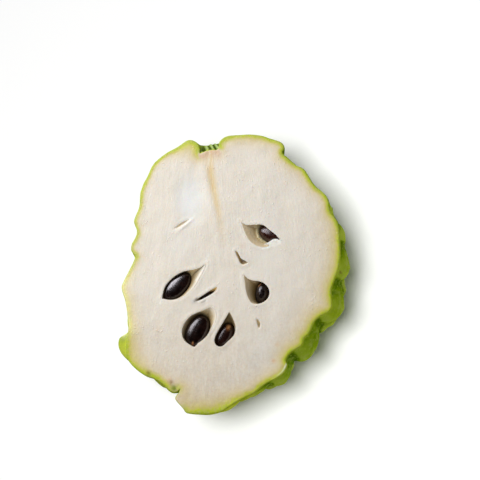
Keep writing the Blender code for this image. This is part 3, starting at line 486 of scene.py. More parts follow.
# ================================================================ the whole half fruit
def make_fruit():
    rings, skin, outline = make_rind()
    verts, faces, slots = [], [], []
    attr = {k: [] for k in ("inset", "ridge", "dab", "glint", "bare", "lit_left_paint", "lime", "brown", "bruise", "smudge_and_shadow", "olive", "tone", "tan", "groove", "height", "wart", "speck", "crease", "place", "under", "hollow", "rib", "sunk", "core", "wide", "cool", "stain", "spot", "collar", "pale")}
    fibre = []

    def add(points, **values):
        first = len(verts)
        verts.extend(map(tuple, points))
        n = len(points)
        for k in attr:
            attr[k].extend(np.broadcast_to(np.asarray(values.get(k, 0.0), float), n).tolist())
        fibre.extend([(0.0, 0.0, 0.0)] * n if "fibre" not in values else [tuple(v) for v in values["fibre"]])
        return np.arange(first, first + n)

    # -------- the rind
    rows, every = [], 1
    for i in range(RINGS):
        if i in HALVE_AT:
            every *= 2
        rows.append(add(rings[i, ::every], inset=-1.0, **{k: v[i, ::every] for k, v in skin.items()}))
    for upper, lower in zip(rows, rows[1:]):
        n, m = len(upper), len(lower)
        for k in range(n):
            a, b = upper[k], upper[(k + 1) % n]
            if n == m:
                faces.append((a, lower[k], lower[(k + 1) % m], b))
            elif k % 2 == 0:
                faces.append((a, lower[k // 2], b))
            else:
                faces.append((a, lower[k // 2], lower[(k // 2 + 1) % m], b))
    faces.append(tuple(rows[-1]))
    slots += [1] * len(faces)

    # -------- the mouths of the pockets and clefts
    mouths, loops = [], []
    for name, mouth in POCKETS.items():
        _, length = closed_spline(mouth, 10)
        loop, _ = closed_spline(mouth, int(length / MOUTH_STEP))
        if signed_area(loop) < 0:
            loop = loop[::-1]
        mouths.append(("pocket", name, loop))
    for outline_c, depth, brown in CLEFTS:
        _, length = closed_spline(outline_c, 10)
        loop, _ = closed_spline(outline_c, int(length / 0.28))
        if signed_area(loop) < 0:
            loop = loop[::-1]
        mouths.append(("cleft", (depth, brown), loop))

    # -------- points of the cut face
    def hex_grid(spacing, low, high, jitter, seed):
        rng = np.random.default_rng(seed)
        xs = np.arange(low[0], high[0], spacing)
        ys = np.arange(low[1], high[1], spacing * 0.866)
        gx, gy = np.meshgrid(xs, ys)
        gx = gx + (np.arange(len(ys)) % 2)[:, None] * spacing / 2
        p = np.column_stack([gx.ravel(), gy.ravel()])
        return p + rng.uniform(-jitter, jitter, p.shape) * spacing

    rim_normal = np.roll(outline, -1, 0) - np.roll(outline, 1, 0)
    rim_normal /= np.linalg.norm(rim_normal, axis=1)[:, None]
    inward = np.column_stack([-rim_normal[:, 1], rim_normal[:, 0]])
    if signed_area(outline) < 0:
        inward = -inward
    rim_points = []
    for inset, every_n in ((0.30, 1), (0.75, 1), (1.4, 1), (2.3, 2)):
        p = (outline + inward * inset)[::every_n]
        d, _ = polyline_distance(p, outline)
        rim_points.append(p[d > inset * 0.93])
    rim_points = np.vstack(rim_points)

    coarse = hex_grid(0.85, (-54, -68), (54, 64), 0.16, 1)
    d_rim, _ = polyline_distance(coarse, outline)
    coarse = coarse[inside(coarse, outline) & (d_rim > 2.9)]
    near = []
    for _, _, loop in mouths:
        low, high = loop.min(0) - 2.6, loop.max(0) + 2.6
        p = hex_grid(0.42, low, high, 0.10, 2)
        d, _ = polyline_distance(p, loop)
        out = ~inside(p, loop)
        near.append(p[out & (d < 2.2) & (d > 0.95)])
        normal = np.roll(loop, -1, 0) - np.roll(loop, 1, 0)
        normal /= np.linalg.norm(normal, axis=1)[:, None]
        outward = np.column_stack([normal[:, 1], -normal[:, 0]])
        for off in (0.16, 0.36, 0.62):
            q = loop + outward * off
            dq, _ = polyline_distance(q, loop)
            near.append(q[dq > off * 0.93])
    near = np.vstack(near)
    keep = np.ones(len(near), bool)
    for _, _, loop in mouths:
        d, _ = polyline_distance(near, loop)
        keep &= ~inside(near, loop) & (d > 0.12)
    near = near[keep]
    # where two mouths are close their offsets crowd: thin them on a fine lattice
    cell = np.unique(np.round(near / 0.17).astype(int), axis=0, return_index=True)[1]
    near = near[np.sort(cell)]
    keep = np.ones(len(coarse), bool)
    for _, _, loop in mouths:
        d, _ = polyline_distance(coarse, loop)
        keep &= ~inside(coarse, loop) & (d > 2.3)
    coarse = coarse[keep]
    free = np.vstack([rim_points, near, coarse])
    keep = inside(free, outline)
    free = free[keep]

    chains = [outline] + [loop for _, _, loop in mouths]
    flat = np.vstack(chains + [free])
    edges, first = [], 0
    for chain in chains:
        n = len(chain)
        edges += [(first + k, first + (k + 1) % n) for k in range(n)]
        first += n
    points, _, triangles, origin, _, _ = geometry.delaunay_2d_cdt([Vector(p) for p in flat], edges, [], 1, 1e-5)
    xy = np.array([(p.x, p.y) for p in points])
    source = np.array([o[0] if o else -1 for o in origin])
    d_rim, _ = polyline_distance(xy, outline)
    d_mouth = np.full(len(xy), 99.0)
    mouth_of = np.zeros(len(xy), int)
    for k, (_, _, loop) in enumerate(mouths):
        d, _ = polyline_distance(xy, loop)
        closer = d < d_mouth
        d_mouth[closer] = d[closer]
        mouth_of[closer] = k

    # relief of the cut flesh: soft hollows and swells, lips that roll into the pockets
    z = value_noise(xy, 9.0, 21) * 0.16 + value_noise(xy, 3.4, 22) * 0.06
    z += value_noise(xy * np.array([1.0, 0.25]), 1.5, 23) * 0.03
    z *= smoothstep(d_rim / 3.0)
    roll = np.where([mouths[k][0] == "pocket" for k in mouth_of], 0.40, 0.28)
    lip = np.clip(1 - d_mouth / roll, 0, 1)
    z = z * smoothstep(d_mouth / 2.0) - lip**2 * roll * 0.40
    z += 0.04 * np.exp(-(((d_mouth - 0.9) / 0.5) ** 2))
    z -= np.clip(1 - d_rim / 0.45, 0, 1) ** 2 * 0.13
    # the shallow smooth hollow at upper left, steep along the cleft at its foot
    hx, hy = xy[:, 0] + 17.0, xy[:, 1] - 33.0
    dish = np.exp(-((hx / 7.0) ** 2 + (hy / 12.5) ** 2) ** 2)
    z -= 0.35 * dish
    z += 0.30 * np.exp(-(((xy[:, 0] + 18.2) * 0.62 - (xy[:, 1] - 20.7) * 0.80) ** 2 / 0.5) - (((xy[:, 0] + 18.2) * 0.80 + (xy[:, 1] - 20.7) * 0.62) / 4.5) ** 2)
    # the core: a faint furrow with a soft ridge left of it
    core_x = np.interp(xy[:, 1], [-10, 8, 20, 29, 42, 54], [0.5, 0.0, -1.9, -3.8, -6.6, -7.7])
    core_fade = smoothstep((xy[:, 1] - 0) / 12)
    off = xy[:, 0] - core_x
    z -= 0.05 * np.exp(-((off / 0.9) ** 2)) * core_fade
    z += 0.11 * np.exp(-(((off + 2.8) / 1.6) ** 2)) * core_fade

    def flesh_values(p, sunk):
        d, _ = polyline_distance(p, outline)
        core_x = np.interp(p[:, 1], [-10, 8, 20, 29, 42, 54], [0.5, 0.0, -1.9, -3.8, -6.6, -7.7])
        off = (p[:, 0] - core_x) / np.interp(p[:, 1], [0, 25, 45, 54], [2.2, 1.25, 1.9, 1.6])
        core = np.exp(-(off**2)) * smoothstep((p[:, 1] - 6) / 32)
        wide = (0.75 * smoothstep((p[:, 0] - 5) / 30) * smoothstep((30 - p[:, 1]) / 20)
                + 1.5 * np.exp(-(((p[:, 0] + 16) / 6) ** 2 + ((p[:, 1] - 58) / 7) ** 2))
                + 1.6 * np.exp(-(((p[:, 0] + 43) / 9) ** 2 + ((p[:, 1] + 38) / 10) ** 2))
                + 2.0 * np.exp(-(((p[:, 0] + 8) / 18) ** 2 + ((p[:, 1] + 64) / 10) ** 2))
                + 0.3 * np.exp(-(((p[:, 0] - 14) / 14) ** 2 + ((p[:, 1] - 60) / 7) ** 2))
                - 0.42 * smoothstep((-p[:, 0] - 18) / 14) * smoothstep((p[:, 1] + 14) / 14))
        cool = np.exp(-(((p[:, 0] + 17) / 7) ** 2 + ((p[:, 1] - 32) / 12) ** 2) ** 1.5)
        cool = np.maximum(cool, 0.28 * np.exp(-(((p[:, 0] - 19) / 8) ** 2 + ((p[:, 1] - 12) / 22) ** 2)))
        cool = np.maximum(cool, 0.24 * np.exp(-(((p[:, 0] + 20) / 9) ** 2 + ((p[:, 1] - 12) / 10) ** 2)))
        cool = np.maximum(cool, 0.34 * np.exp(-(((p[:, 0] - 19) / 11) ** 2 + ((p[:, 1] + 40) / 15) ** 2)))
        stain = (0.55 * np.exp(-(((p[:, 0] + 7.0) / 6.0) ** 2 + ((p[:, 1] - 53.2) / 3.0) ** 2))
                 + 0.75 * np.exp(-(((p[:, 0] + 10.9) / 2.4) ** 2 + ((p[:, 1] - 52.6) / 2.2) ** 2))
                 + 0.75 * np.exp(-(((p[:, 0] + 4.2) / 3.0) ** 2 + ((p[:, 1] - 53.3) / 2.4) ** 2)))
        spot = 0
        for x, y, r, much in SPOTS:
            spot = spot + much * np.exp(-(((p[:, 0] - x) ** 2 + (p[:, 1] - y) ** 2) / r**2))
        olive, bruise, glint = 0, 0, 0
        for x, y, r, much in OLIVES:
            olive = olive + much * np.exp(-(((p[:, 0] - x) ** 2 + (p[:, 1] - y) ** 2) / r**2) ** 1.5)
        for x, y, r, much in BRUISES:
            bruise = bruise + much * np.exp(-(((p[:, 0] - x) ** 2 + (p[:, 1] - y) ** 2) / r**2))
        # painted highlights along the lines listed in GLINTS
        for line, r, much in GLINTS:
            there = np.vstack([line, line[-2:0:-1]]) if len(line) > 2 else np.array(line)
            far, _ = polyline_distance(p, there)
            broken = 0.75 + 0.25 * value_noise(p, 0.9, 41)
            glint = np.maximum(glint, much * np.exp(-((far / r) ** 2)) * broken)
        brown = 0
        for x, y, r, much in BROWNS:
            brown = brown + much * np.exp(-(((p[:, 0] - x) ** 2 + (p[:, 1] - y) ** 2) / r**2))
        # grey creases and smudges, with painted shadow below the flap
        smudge_and_shadow = 0
        for line, r, much in SMUDGES_AND_SHADOWS:
            there = np.vstack([line, line[-2:0:-1]]) if len(line) > 2 else np.array(line)
            far, _ = polyline_distance(p, there)
            smudge_and_shadow = np.maximum(smudge_and_shadow, much * np.exp(-((far / r) ** 2)))
        bare = np.exp(-(((p[:, 0] + 22.0) / 5.6) ** 2 + ((p[:, 1] + 58.5) / 6.0) ** 2) ** 1.5)
        lime = (1.45 + 1.9 * np.exp(-(((p[:, 0] + 5) / 14) ** 2 + ((p[:, 1] + 66) / 6) ** 2))
                + 0.6 * np.exp(-(((p[:, 0] + 35) / 11) ** 2 + ((p[:, 1] + 47) / 9) ** 2))
                + 1.3 * np.exp(-(((p[:, 0] + 15) / 6) ** 2 + ((p[:, 1] - 57) / 6) ** 2))
                + 0.8 * np.exp(-(((p[:, 0] - 0) / 4) ** 2 + ((p[:, 1] - 58) / 5) ** 2))
                - 0.05 * smoothstep((p[:, 0] - 20) / 10))
        # painted light: the flesh along the left side, which faces the key light, is painted lighter, most of all in
        # the lower part
        lit_left_paint = smoothstep((-p[:, 0] - 30) / 14) * smoothstep((p[:, 1] + 34) / 10) * smoothstep((46 - p[:, 1]) / 20)
        lit_left_paint = lit_left_paint * (0.30 + 0.70 * smoothstep((8 - p[:, 1]) / 16))
        # fibres run from a point over the stem end and fan out towards the tip
        ox, oy = -6.0, 150.0
        bearing = np.arctan2(p[:, 0] - ox, oy - p[:, 1])
        reach = np.hypot(p[:, 0] - ox, oy - p[:, 1])
        return {"inset": d, "core": core, "wide": wide, "cool": cool, "stain": stain, "spot": spot, "sunk": sunk,
                "olive": olive, "bruise": bruise, "smudge_and_shadow": smudge_and_shadow, "brown": brown, "glint": glint, "bare": bare, "lit_left_paint": lit_left_paint, "lime": lime,
                "fibre": np.column_stack([bearing * 190.0, reach, np.zeros(len(p))])}

    n_outline = len(outline)
    index = np.empty(len(xy), int)
    is_rim = (source >= 0) & (source < n_outline)
    index[is_rim] = rows[0][source[is_rim]]
    rest = ~is_rim
    index[rest] = add(np.column_stack([xy[rest], CUT_HEIGHT + z[rest]]), **flesh_values(xy[rest], np.zeros(rest.sum())))
    at_source = {}
    for k in range(len(xy)):
        if source[k] >= n_outline:
            at_source[source[k]] = k
    tri = np.array([t for t in triangles])
    middle = xy[tri].mean(1)
    open_space = np.zeros(len(tri), bool)
    for _, _, loop in mouths:
        open_space |= inside(middle, loop)
    kept = tri[~open_space]
    turn = np.cross(xy[kept[:, 1]] - xy[kept[:, 0]], xy[kept[:, 2]] - xy[kept[:, 0]])
    kept[turn < 0] = kept[turn < 0][:, ::-1]
    faces.extend([tuple(index[t]) for t in kept])
    slots += [0] * len(kept)

    # -------- walls and floors of the pockets
    first = n_outline
    for kind, what, loop in mouths:
        ids = [at_source[first + k] for k in range(len(loop))]
        first += len(loop)
        upper = index[ids]
        top = np.array([verts[k][2] for k in upper]) - CUT_HEIGHT
        if kind == "pocket":
            (cx, cy, cz), (_, _, half_height), _ = SEEDS[what]
            depth = half_height - cz + FLOOR_GAP
            # the gain on the browning and painted shade down the walls; clefts bring their own
            darker = 1.0
            parts = np.concatenate([np.linspace(0.015, 0.20, 8), np.linspace(0.26, 1.0, 11)])
            reaches = np.interp(parts, [p for p, _ in POCKET_STEPS], [r for _, r in POCKET_STEPS])
            steps = [(pocket_ring(what, loop, cz * p, r), cz * p, -cz * p / depth) for p, r in zip(parts, reaches)]
            levels = [cz - half_height * p for p in POCKET_BOWL]
            steps += [(pocket_ring(what, loop, level, 0), level, -level / depth) for level in levels]
            centre = (cx, cy)
        else:
            depth, darker = what
            centre = tuple(loop.mean(0))
            steps = []
            for f in (0.25, 0.5, 0.75, 0.92):
                s = 1 - 0.75 * f**1.6
                steps.append((loop * s + np.array(centre) * (1 - s), -depth * f, f))
        rel = loop - np.array(centre)
        rel /= np.linalg.norm(rel, axis=1)[:, None]
        # painted light: walls on the lower right of a mouth face the key light and get a whiter lip; on the lower left
        # pocket the upper side does too
        pale = smoothstep((rel @ np.array([0.86, -0.51]) - 0.30) / 0.40) * {"seed_left": 0.75}.get(what, 1.0)
        if what == "seed_lower_left":
            pale = np.maximum(pale, 0.55 * smoothstep((rel @ np.array([0.5, 0.86]) - 0.1) / 0.5))
        tone = {"seed_lower_middle": 0.95, "seed_left": 0.45, "seed_centre": 0.8}.get(what, 0.0)
        tan = {"seed_upper_right": 1.0, "seed_right": 1.0}.get(what, 0.0)
        # light tan on parts of three pocket walls: partly the walls' own tan, partly painted light at the narrow end of
        # the slit that would lie in shadow
        tan_and_lit_wall = (what == "seed_centre") * np.maximum(smoothstep((loop[:, 0] + 7.6) / 1.2), 0.8 * smoothstep((-12.2 - loop[:, 0]) / 0.8))
        if what == "seed_lower_left":
            tan_and_lit_wall = 0.6 * smoothstep((rel[:, 1] - 0.80) / 0.10) * smoothstep((loop[:, 0] + 12.0) / 2.0)
        if what == "seed_left":
            tan_and_lit_wall = 0.85 * smoothstep((rel[:, 1] - 0.52) / 0.10) * smoothstep((loop[:, 0] + 18.0) / 2.0)
        for ring, level, f in steps:
            bumps = value_noise(np.column_stack([ring, np.full(len(ring), level * 2)]), 1.7, 31) * 0.10 * min(1, f * 6)
            height = level + (top - (-0.3)) * (1 - f) ** 4
            ring = ring + rel * bumps[:, None] * 0.6
            collar = np.zeros(len(ring))
            if what == "seed_upper_right":
                strip = np.array(COLLAR)
                far, _ = polyline_distance(ring, np.vstack([strip, strip[-2:0:-1]]))
                collar = np.exp(-((far / 1.02) ** 2) ** 1.5) * smoothstep(f / 0.10) * (f < 0.62)
                height = height + 1.25 * collar
            lower = add(np.column_stack([ring, CUT_HEIGHT + height]), collar=collar, pale=pale, tone=tone, tan=tan, dab=tan_and_lit_wall,
                        **flesh_values(ring, np.full(len(ring), -level * darker)))
            for k in range(len(upper)):
                j = (k + 1) % len(upper)
                faces.append((upper[k], upper[j], lower[j], lower[k]))
            upper = lower
        bottom = add([(centre[0], centre[1], CUT_HEIGHT - depth)], **flesh_values(np.array([centre]), np.array([depth * darker])))[0]
        for k in range(len(upper)):
            faces.append((upper[k], upper[(k + 1) % len(upper)], bottom))
    slots += [0] * (len(faces) - len(slots))

    mesh = bpy.data.meshes.new("custard_apple_half")
    mesh.from_pydata([(x * MM, y * MM, z * MM) for x, y, z in verts], [], [tuple(int(v) for v in f) for f in faces])
    mesh.polygons.foreach_set("material_index", slots)
    for key, values in attr.items():
        layer = mesh.attributes.new(key, "FLOAT", "POINT")
        layer.data.foreach_set("value", np.array(values, np.float32))
    layer = mesh.attributes.new("fibre", "FLOAT_VECTOR", "POINT")
    layer.data.foreach_set("vector", np.array(fibre, np.float32).ravel())
    mesh.shade_smooth()
    mesh.update()
    piece = bpy.data.objects.new("custard_apple_half", mesh)
    bpy.context.scene.collection.objects.link(piece)
    return piece


# ================================================================ seeds
def make_seed(name, hilum=None):
    """A plump oblong seed with a faint keel and a coat that isn't quite even."""
    (cx, cy, cz), (half_length, half_width, half_height), turn = SEEDS[name]
    around, rows = 72, 46
    cos, sin = math.cos(math.radians(turn)), math.sin(math.radians(turn))
    verts, faces = [(0.0, 0.0, 0.0)], []
    a = np.cos(np.linspace(0, math.pi, rows + 1))
    phi = np.arange(around) * 2 * math.pi / around
    verts = []
    for k in range(1, rows):
        x = a[k]
        r = math.sqrt(max(1 - abs(x) ** 2.25, 0)) ** 0.96
        taper = 1 - 0.10 * x * x - 0.07 * x
        side = np.sign(np.cos(phi)) * np.abs(np.cos(phi)) ** 0.94
        up = np.sign(np.sin(phi)) * np.abs(np.sin(phi)) ** 0.94
        keel = 1 + 0.03 * np.exp(-((np.sin(phi) / 0.12) ** 2))
        verts.append(np.column_stack([np.full(around, x * half_length), side * r * taper * half_width * keel, up * r * taper * half_height]))
    pts = np.vstack([[[half_length * 0.995, 0, 0]]] + [v for v in verts] + [[[-half_length * 0.995, 0, 0]]])
    seed_number = sum(ord(c) for c in name) % 97
    uneven = value_noise(pts * np.array([0.45, 1, 1]), 1.6, seed_number) * 0.035 + value_noise(pts, 4.5, seed_number + 1) * 0.12
    unit = pts / np.maximum(np.linalg.norm(pts, axis=1), 1e-6)[:, None]
    pts = pts + unit * uneven[:, None]
    local = pts.copy()
    x = pts[:, 0] * cos - pts[:, 1] * sin + cx
    y = pts[:, 0] * sin + pts[:, 1] * cos + cy
    z = pts[:, 2] + cz + CUT_HEIGHT
    world = np.column_stack([x, y, z])
    n = around
    for k in range(n):
        faces.append((0, 1 + k, 1 + (k + 1) % n))
    for r in range(rows - 2):
        base = 1 + r * n
        for k in range(n):
            j = (k + 1) % n
            faces.append((base + k, base + n + k, base + n + j, base + j))
    last = len(world) - 1
    base = 1 + (rows - 2) * n
    for k in range(n):
        faces.append((base + k, last, base + (k + 1) % n))
    scar = np.zeros(len(world))
    if hilum:
        (hx, hy), (long, wide), tilt = hilum
        ht = math.radians(tilt)
        dx, dy = x - hx, y - hy
        u = dx * math.cos(ht) + dy * math.sin(ht)
        w = -dx * math.sin(ht) + dy * math.cos(ht)
        scar = np.exp(-((u / long) ** 2 + (w / wide) ** 2) ** 1.5) * (pts[:, 2] > -0.5)
    mesh = bpy.data.meshes.new(name + "_coat")
    mesh.from_pydata([tuple(v * MM) for v in world], [], faces)
    layer = mesh.attributes.new("scar", "FLOAT", "POINT")
    layer.data.foreach_set("value", scar.astype(np.float32))
    layer = mesh.attributes.new("ruddy", "FLOAT", "POINT")
    layer.data.foreach_set("value", np.full(len(world), RUDDY.get(name, 0.0), np.float32))
    layer = mesh.attributes.new("matte", "FLOAT", "POINT")
    layer.data.foreach_set("value", np.full(len(world), MATTE.get(name, 0.0), np.float32))
    layer = mesh.attributes.new("grain", "FLOAT_VECTOR", "POINT")
    layer.data.foreach_set("vector", local.astype(np.float32).ravel())
    mesh.shade_smooth()
    mesh.update()
    piece = bpy.data.objects.new(name + "_coat", mesh)
    bpy.context.scene.collection.objects.link(piece)
    return piece


# ================================================================ materials
def rgb(r, g, b):
    """A colour given as it looks on screen, as the shader's linear values."""
    out = []
    for c in (r, g, b):
        c /= 255
        out.append(c / 12.92 if c <= 0.04045 else ((c + 0.055) / 1.055) ** 2.4)
    return (*out, 1.0)


class Nodes:
    """Short hand for building a shader."""

    def __init__(self, name):
        self.material = bpy.data.materials.new(name)
        self.material.use_nodes = True
        self.tree = self.material.node_tree
        self.tree.nodes.clear()
        self.out = self.tree.nodes.new("ShaderNodeOutputMaterial")
        self.shader = self.tree.nodes.new("ShaderNodeBsdfPrincipled")
        self.tree.links.new(self.shader.outputs[0], self.out.inputs["Surface"])

    def new(self, kind, **settings):
        node = self.tree.nodes.new(kind)
        for k, v in settings.items():
            setattr(node, k, v)
        return node

    def link(self, a, b):
        self.tree.links.new(a, b)

    def attribute(self, name, vector=False):
        node = self.new("ShaderNodeAttribute", attribute_name=name)
        return node.outputs["Vector"] if vector else node.outputs["Fac"]

    def position(self):
        return self.new("ShaderNodeTexCoord").outputs["Object"]

    def value(self, x):
        return x

    def put(self, socket, x):
        if hasattr(x, "links") or hasattr(x, "is_output"):
            self.link(x, socket)
        else:
            socket.default_value = x

    def math(self, op, a, b=0.0, c=0.0, clamp=False):
        node = self.new("ShaderNodeMath", operation=op, use_clamp=clamp)
        for socket, x in zip(node.inputs, (a, b, c)):
            self.put(socket, x)
        return node.outputs[0]

    def noise(self, vector, scale, detail=2.0, roughness=0.5, distortion=0.0):
        node = self.new("ShaderNodeTexNoise")
        self.link(vector, node.inputs["Vector"])
        node.inputs["Scale"].default_value = scale
        node.inputs["Detail"].default_value = detail
        node.inputs["Roughness"].default_value = roughness
        node.inputs["Distortion"].default_value = distortion
        return node.outputs["Fac"]

    def voronoi(self, vector, scale, feature="F1", randomness=1.0):
        node = self.new("ShaderNodeTexVoronoi", feature=feature)
        self.link(vector, node.inputs["Vector"])
        node.inputs["Scale"].default_value = scale
        node.inputs["Randomness"].default_value = randomness
        return node.outputs["Distance"]

    def ramp(self, fac, stops, mode="LINEAR"):
        node = self.new("ShaderNodeValToRGB")
        node.color_ramp.interpolation = mode
        elements = node.color_ramp.elements
        while len(elements) > 1:
            elements.remove(elements[-1])
        for k, (at, colour) in enumerate(stops):
            e = elements[0] if k == 0 else elements.new(at)
            e.position = at
            e.color = colour if not isinstance(colour, float) else (colour, colour, colour, 1)
        self.link(fac, node.inputs["Fac"])
        return node.outputs["Color"]

    def mix(self, fac, a, b, blend="MIX"):
        node = self.new("ShaderNodeMix", data_type="RGBA", blend_type=blend)
        self.put(node.inputs[0], fac)
        self.put(node.inputs[6], a)
        self.put(node.inputs[7], b)
        return node.outputs[2]

    def remap(self, x, a, b, c=0.0, d=1.0):
        node = self.new("ShaderNodeMapRange", clamp=True)
        self.link(x, node.inputs["Value"])
        for key, v in (("From Min", a), ("From Max", b), ("To Min", c), ("To Max", d)):
            node.inputs[key].default_value = v
        return node.outputs["Result"]

    def bump(self, height, distance, strength=1.0, normal=None):
        node = self.new("ShaderNodeBump")
        self.link(height, node.inputs["Height"])
        node.inputs["Distance"].default_value = distance
        node.inputs["Strength"].default_value = strength
        if normal is not None:
            self.link(normal, node.inputs["Normal"])
        return node.outputs["Normal"]


def flesh_material():
    m = Nodes("custard_apple_flesh")
    pos = m.position()
    inset, sunk = m.attribute("inset"), m.attribute("sunk")
    core, wide = m.attribute("core"), m.attribute("wide")
    glint, bare, bruise, olive = m.attribute("glint"), m.attribute("bare"), m.attribute("bruise"), m.attribute("olive")
    along = m.new("ShaderNodeSeparateXYZ")
    m.link(pos, along.inputs[0])
    cool, stain, spot = m.attribute("cool"), m.attribute("stain"), m.attribute("spot")
    fibre = m.attribute("fibre", True)
    stretch = m.new("ShaderNodeMapping")
    m.link(fibre, stretch.inputs["Vector"])
    stretch.inputs["Scale"].default_value = (1.0, 0.16, 1.0)
    fibres = m.noise(stretch.outputs[0], 0.95, 4.0, 0.62, 0.25)
    stretch2 = m.new("ShaderNodeMapping")
    m.link(fibre, stretch2.inputs["Vector"])
    stretch2.inputs["Scale"].default_value = (1.0, 0.50, 1.0)
    grains = m.noise(stretch2.outputs[0], 1.9, 3.0, 0.6, 0.1)
    patches = m.noise(pos, 50.0, 3.0, 0.55)
    cloud = m.noise(pos, 150.0, 2.0, 0.5)

    base = m.mix(patches, rgb(232, 224, 212), rgb(236, 229, 217))
    base = m.mix(m.remap(fibres, 0.34, 0.68, 0.0, 0.30), base, rgb(243, 239, 232))
    base = m.mix(m.remap(cloud, 0.45, 0.75, 0.0, 0.18), base, rgb(226, 216, 198))
    low_end = m.remap(along.outputs["Y"], -0.012, -0.064)
    base = m.mix(m.math("MULTIPLY", low_end, 0.55), base, rgb(215, 203, 183))
    strands = m.remap(fibres, 0.50, 0.60, 0.0, 0.55)
    base = m.mix(m.math("MULTIPLY", low_end, strands), base, rgb(238, 231, 217))
    base = m.mix(m.math("MULTIPLY", cool, 0.80), base, rgb(236, 238, 238))
    base = m.mix(m.math("MULTIPLY", core, m.remap(fibres, 0.3, 0.6, 0.55, 0.95)), base, rgb(229, 203, 146))
    base = m.mix(m.math("MULTIPLY", stain, m.remap(cloud, 0.35, 0.6, 0.35, 0.68)), base, rgb(212, 164, 106))

    # from the skin inwards: green line, yellow-green, tan-cream, flesh
    wobble = m.remap(m.noise(pos, 330.0, 3.0, 0.6), 0.3, 0.7, -0.28, 0.28)
    ragged = m.remap(along.outputs["Y"], -0.052, -0.060, 1.0, 3.2)
    wobble = m.math("MULTIPLY", wobble, ragged)
    depth = m.math("DIVIDE", m.math("ADD", inset, wobble), m.math("ADD", wide, 1.0))
    band = m.ramp(m.math("DIVIDE", depth, 9.0), [
        (0.0, rgb(212, 202, 118)), (0.10, rgb(216, 204, 128)), (0.17, rgb(220, 207, 144)),
        (0.32, rgb(227, 212, 172)), (0.60, rgb(231, 218, 192)), (1.0, rgb(235, 225, 209))])
    cover = m.ramp(m.math("DIVIDE", depth, 9.0), [(0.0, 1.0), (0.10, 1.0), (0.22, 0.84), (0.50, 0.42), (1.0, 0.0)])
    stained = m.math("SUBTRACT", 1.0, m.remap(stain, 0.30, 0.75))
    cover = m.math("MULTIPLY", cover, stained)
    # painted light: the left side's flesh is lightened and its cut edge painted a light cream in place of most of the
    # green line
    lit_left_paint = m.attribute("lit_left_paint")
    rim = m.math("MULTIPLY", lit_left_paint, m.remap(inset, 2.6, 0.7))
    colour = m.mix(cover, base, band)
    colour = m.mix(m.math("MULTIPLY", lit_left_paint, m.remap(inset, 7.0, 1.0, 0.0, 0.40)), colour, rgb(255, 246, 206))
    colour = m.mix(m.math("MULTIPLY", rim, 0.8), colour, rgb(250, 244, 172))
    reach = m.math("DIVIDE", m.math("DIVIDE", m.math("ADD", inset, wobble), m.math("MAXIMUM", m.attribute("lime"), 0.2)), 3.0)
    line = m.ramp(reach, [
        (0.0, rgb(166, 186, 30)), (0.16, rgb(188, 202, 42)), (0.30, rgb(204, 206, 66)), (0.60, rgb(212, 204, 112))])
    lined = m.ramp(reach, [(0.0, 1.0), (0.20, 1.0), (0.33, 0.60), (0.56, 0.0)])
    lined = m.math("MULTIPLY", lined, stained)
    lined = m.math("MULTIPLY", lined, m.math("SUBTRACT", 1.0, m.math("MULTIPLY", lit_left_paint, m.remap(inset, 0.0, 0.35, 0.40, 0.85))))
    colour = m.mix(m.math("MULTIPLY", bare, m.remap(inset, 9.0, 3.0, 0.0, 0.85)), colour, rgb(226, 208, 184))
    lined = m.math("MULTIPLY", lined, m.math("SUBTRACT", 1.0, m.math("MULTIPLY", bare, m.remap(inset, 0.10, 0.6, 0.35, 0.95))))
    colour = m.mix(lined, colour, line)
    # fine mottling, stronger low down and near the skin
    freckles = m.remap(m.noise(pos, 800.0, 2.0, 0.6), 0.38, 0.66)
    near = m.math("MAXIMUM", low_end, m.remap(depth, 7.0, 1.5, 0.0, 0.8))
    colour = m.mix(m.math("MULTIPLY", freckles, m.math("MULTIPLY_ADD", near, 0.26, 0.05)), colour, rgb(202, 182, 148))
    colour = m.mix(m.math("MULTIPLY", spot, 1.0, clamp=True), colour, rgb(222, 160, 84))
    colour = m.mix(m.math("MULTIPLY", m.attribute("brown"), 1.0, clamp=True), colour, rgb(126, 86, 14))
    colour = m.mix(m.math("MULTIPLY", bruise, 1.0, clamp=True), colour, rgb(158, 160, 166))
    # grey creases and smudges, with painted shadow below the flap
    colour = m.mix(m.math("MULTIPLY", m.attribute("smudge_and_shadow"), 1.0, clamp=True), colour, rgb(112, 111, 106))
    colour = m.mix(m.math("MULTIPLY", olive, 0.9, clamp=True), colour, rgb(128, 146, 24))
    # walls of the pockets: cream, then tan and brown further down, partly the flesh's own browner colour and partly
    # painted shade that deepens with depth
    pale, collar = m.attribute("pale"), m.attribute("collar")
    wall = m.ramp(m.math("DIVIDE", sunk, 9.0), [
        (0.0, rgb(234, 225, 208)), (0.06, rgb(226, 212, 184)), (0.20, rgb(208, 187, 146)), (0.42, rgb(170, 142, 92)),
        (0.65, rgb(112, 86, 48)), (1.0, rgb(66, 46, 26))])
    # painted light and shade: walls on the side facing the key light are whiter at the lip and darker in the gap
    # further down
    lit_side_ramp = m.ramp(m.math("DIVIDE", sunk, 9.0), [
        (0.0, rgb(240, 236, 228)), (0.04, rgb(230, 222, 206)), (0.13, rgb(178, 160, 126)), (0.28, rgb(126, 103, 68)), (0.50, rgb(92, 70, 42)), (1.0, rgb(60, 42, 24))])
    tan, tone = m.attribute("tan"), m.attribute("tone")
    wall = m.mix(m.math("MULTIPLY", tan, m.remap(sunk, 2.2, 0.9)), wall, rgb(212, 193, 160))
    # darker olive brown a few mm down in three pockets: partly the membrane's own colour, partly painted shade beside
    # the seed
    wall = m.mix(m.math("MULTIPLY", tone, m.remap(sunk, 4.5, 1.5, 0.35, 1.0)), wall, rgb(124, 105, 70))
    wall = m.mix(pale, wall, lit_side_ramp)
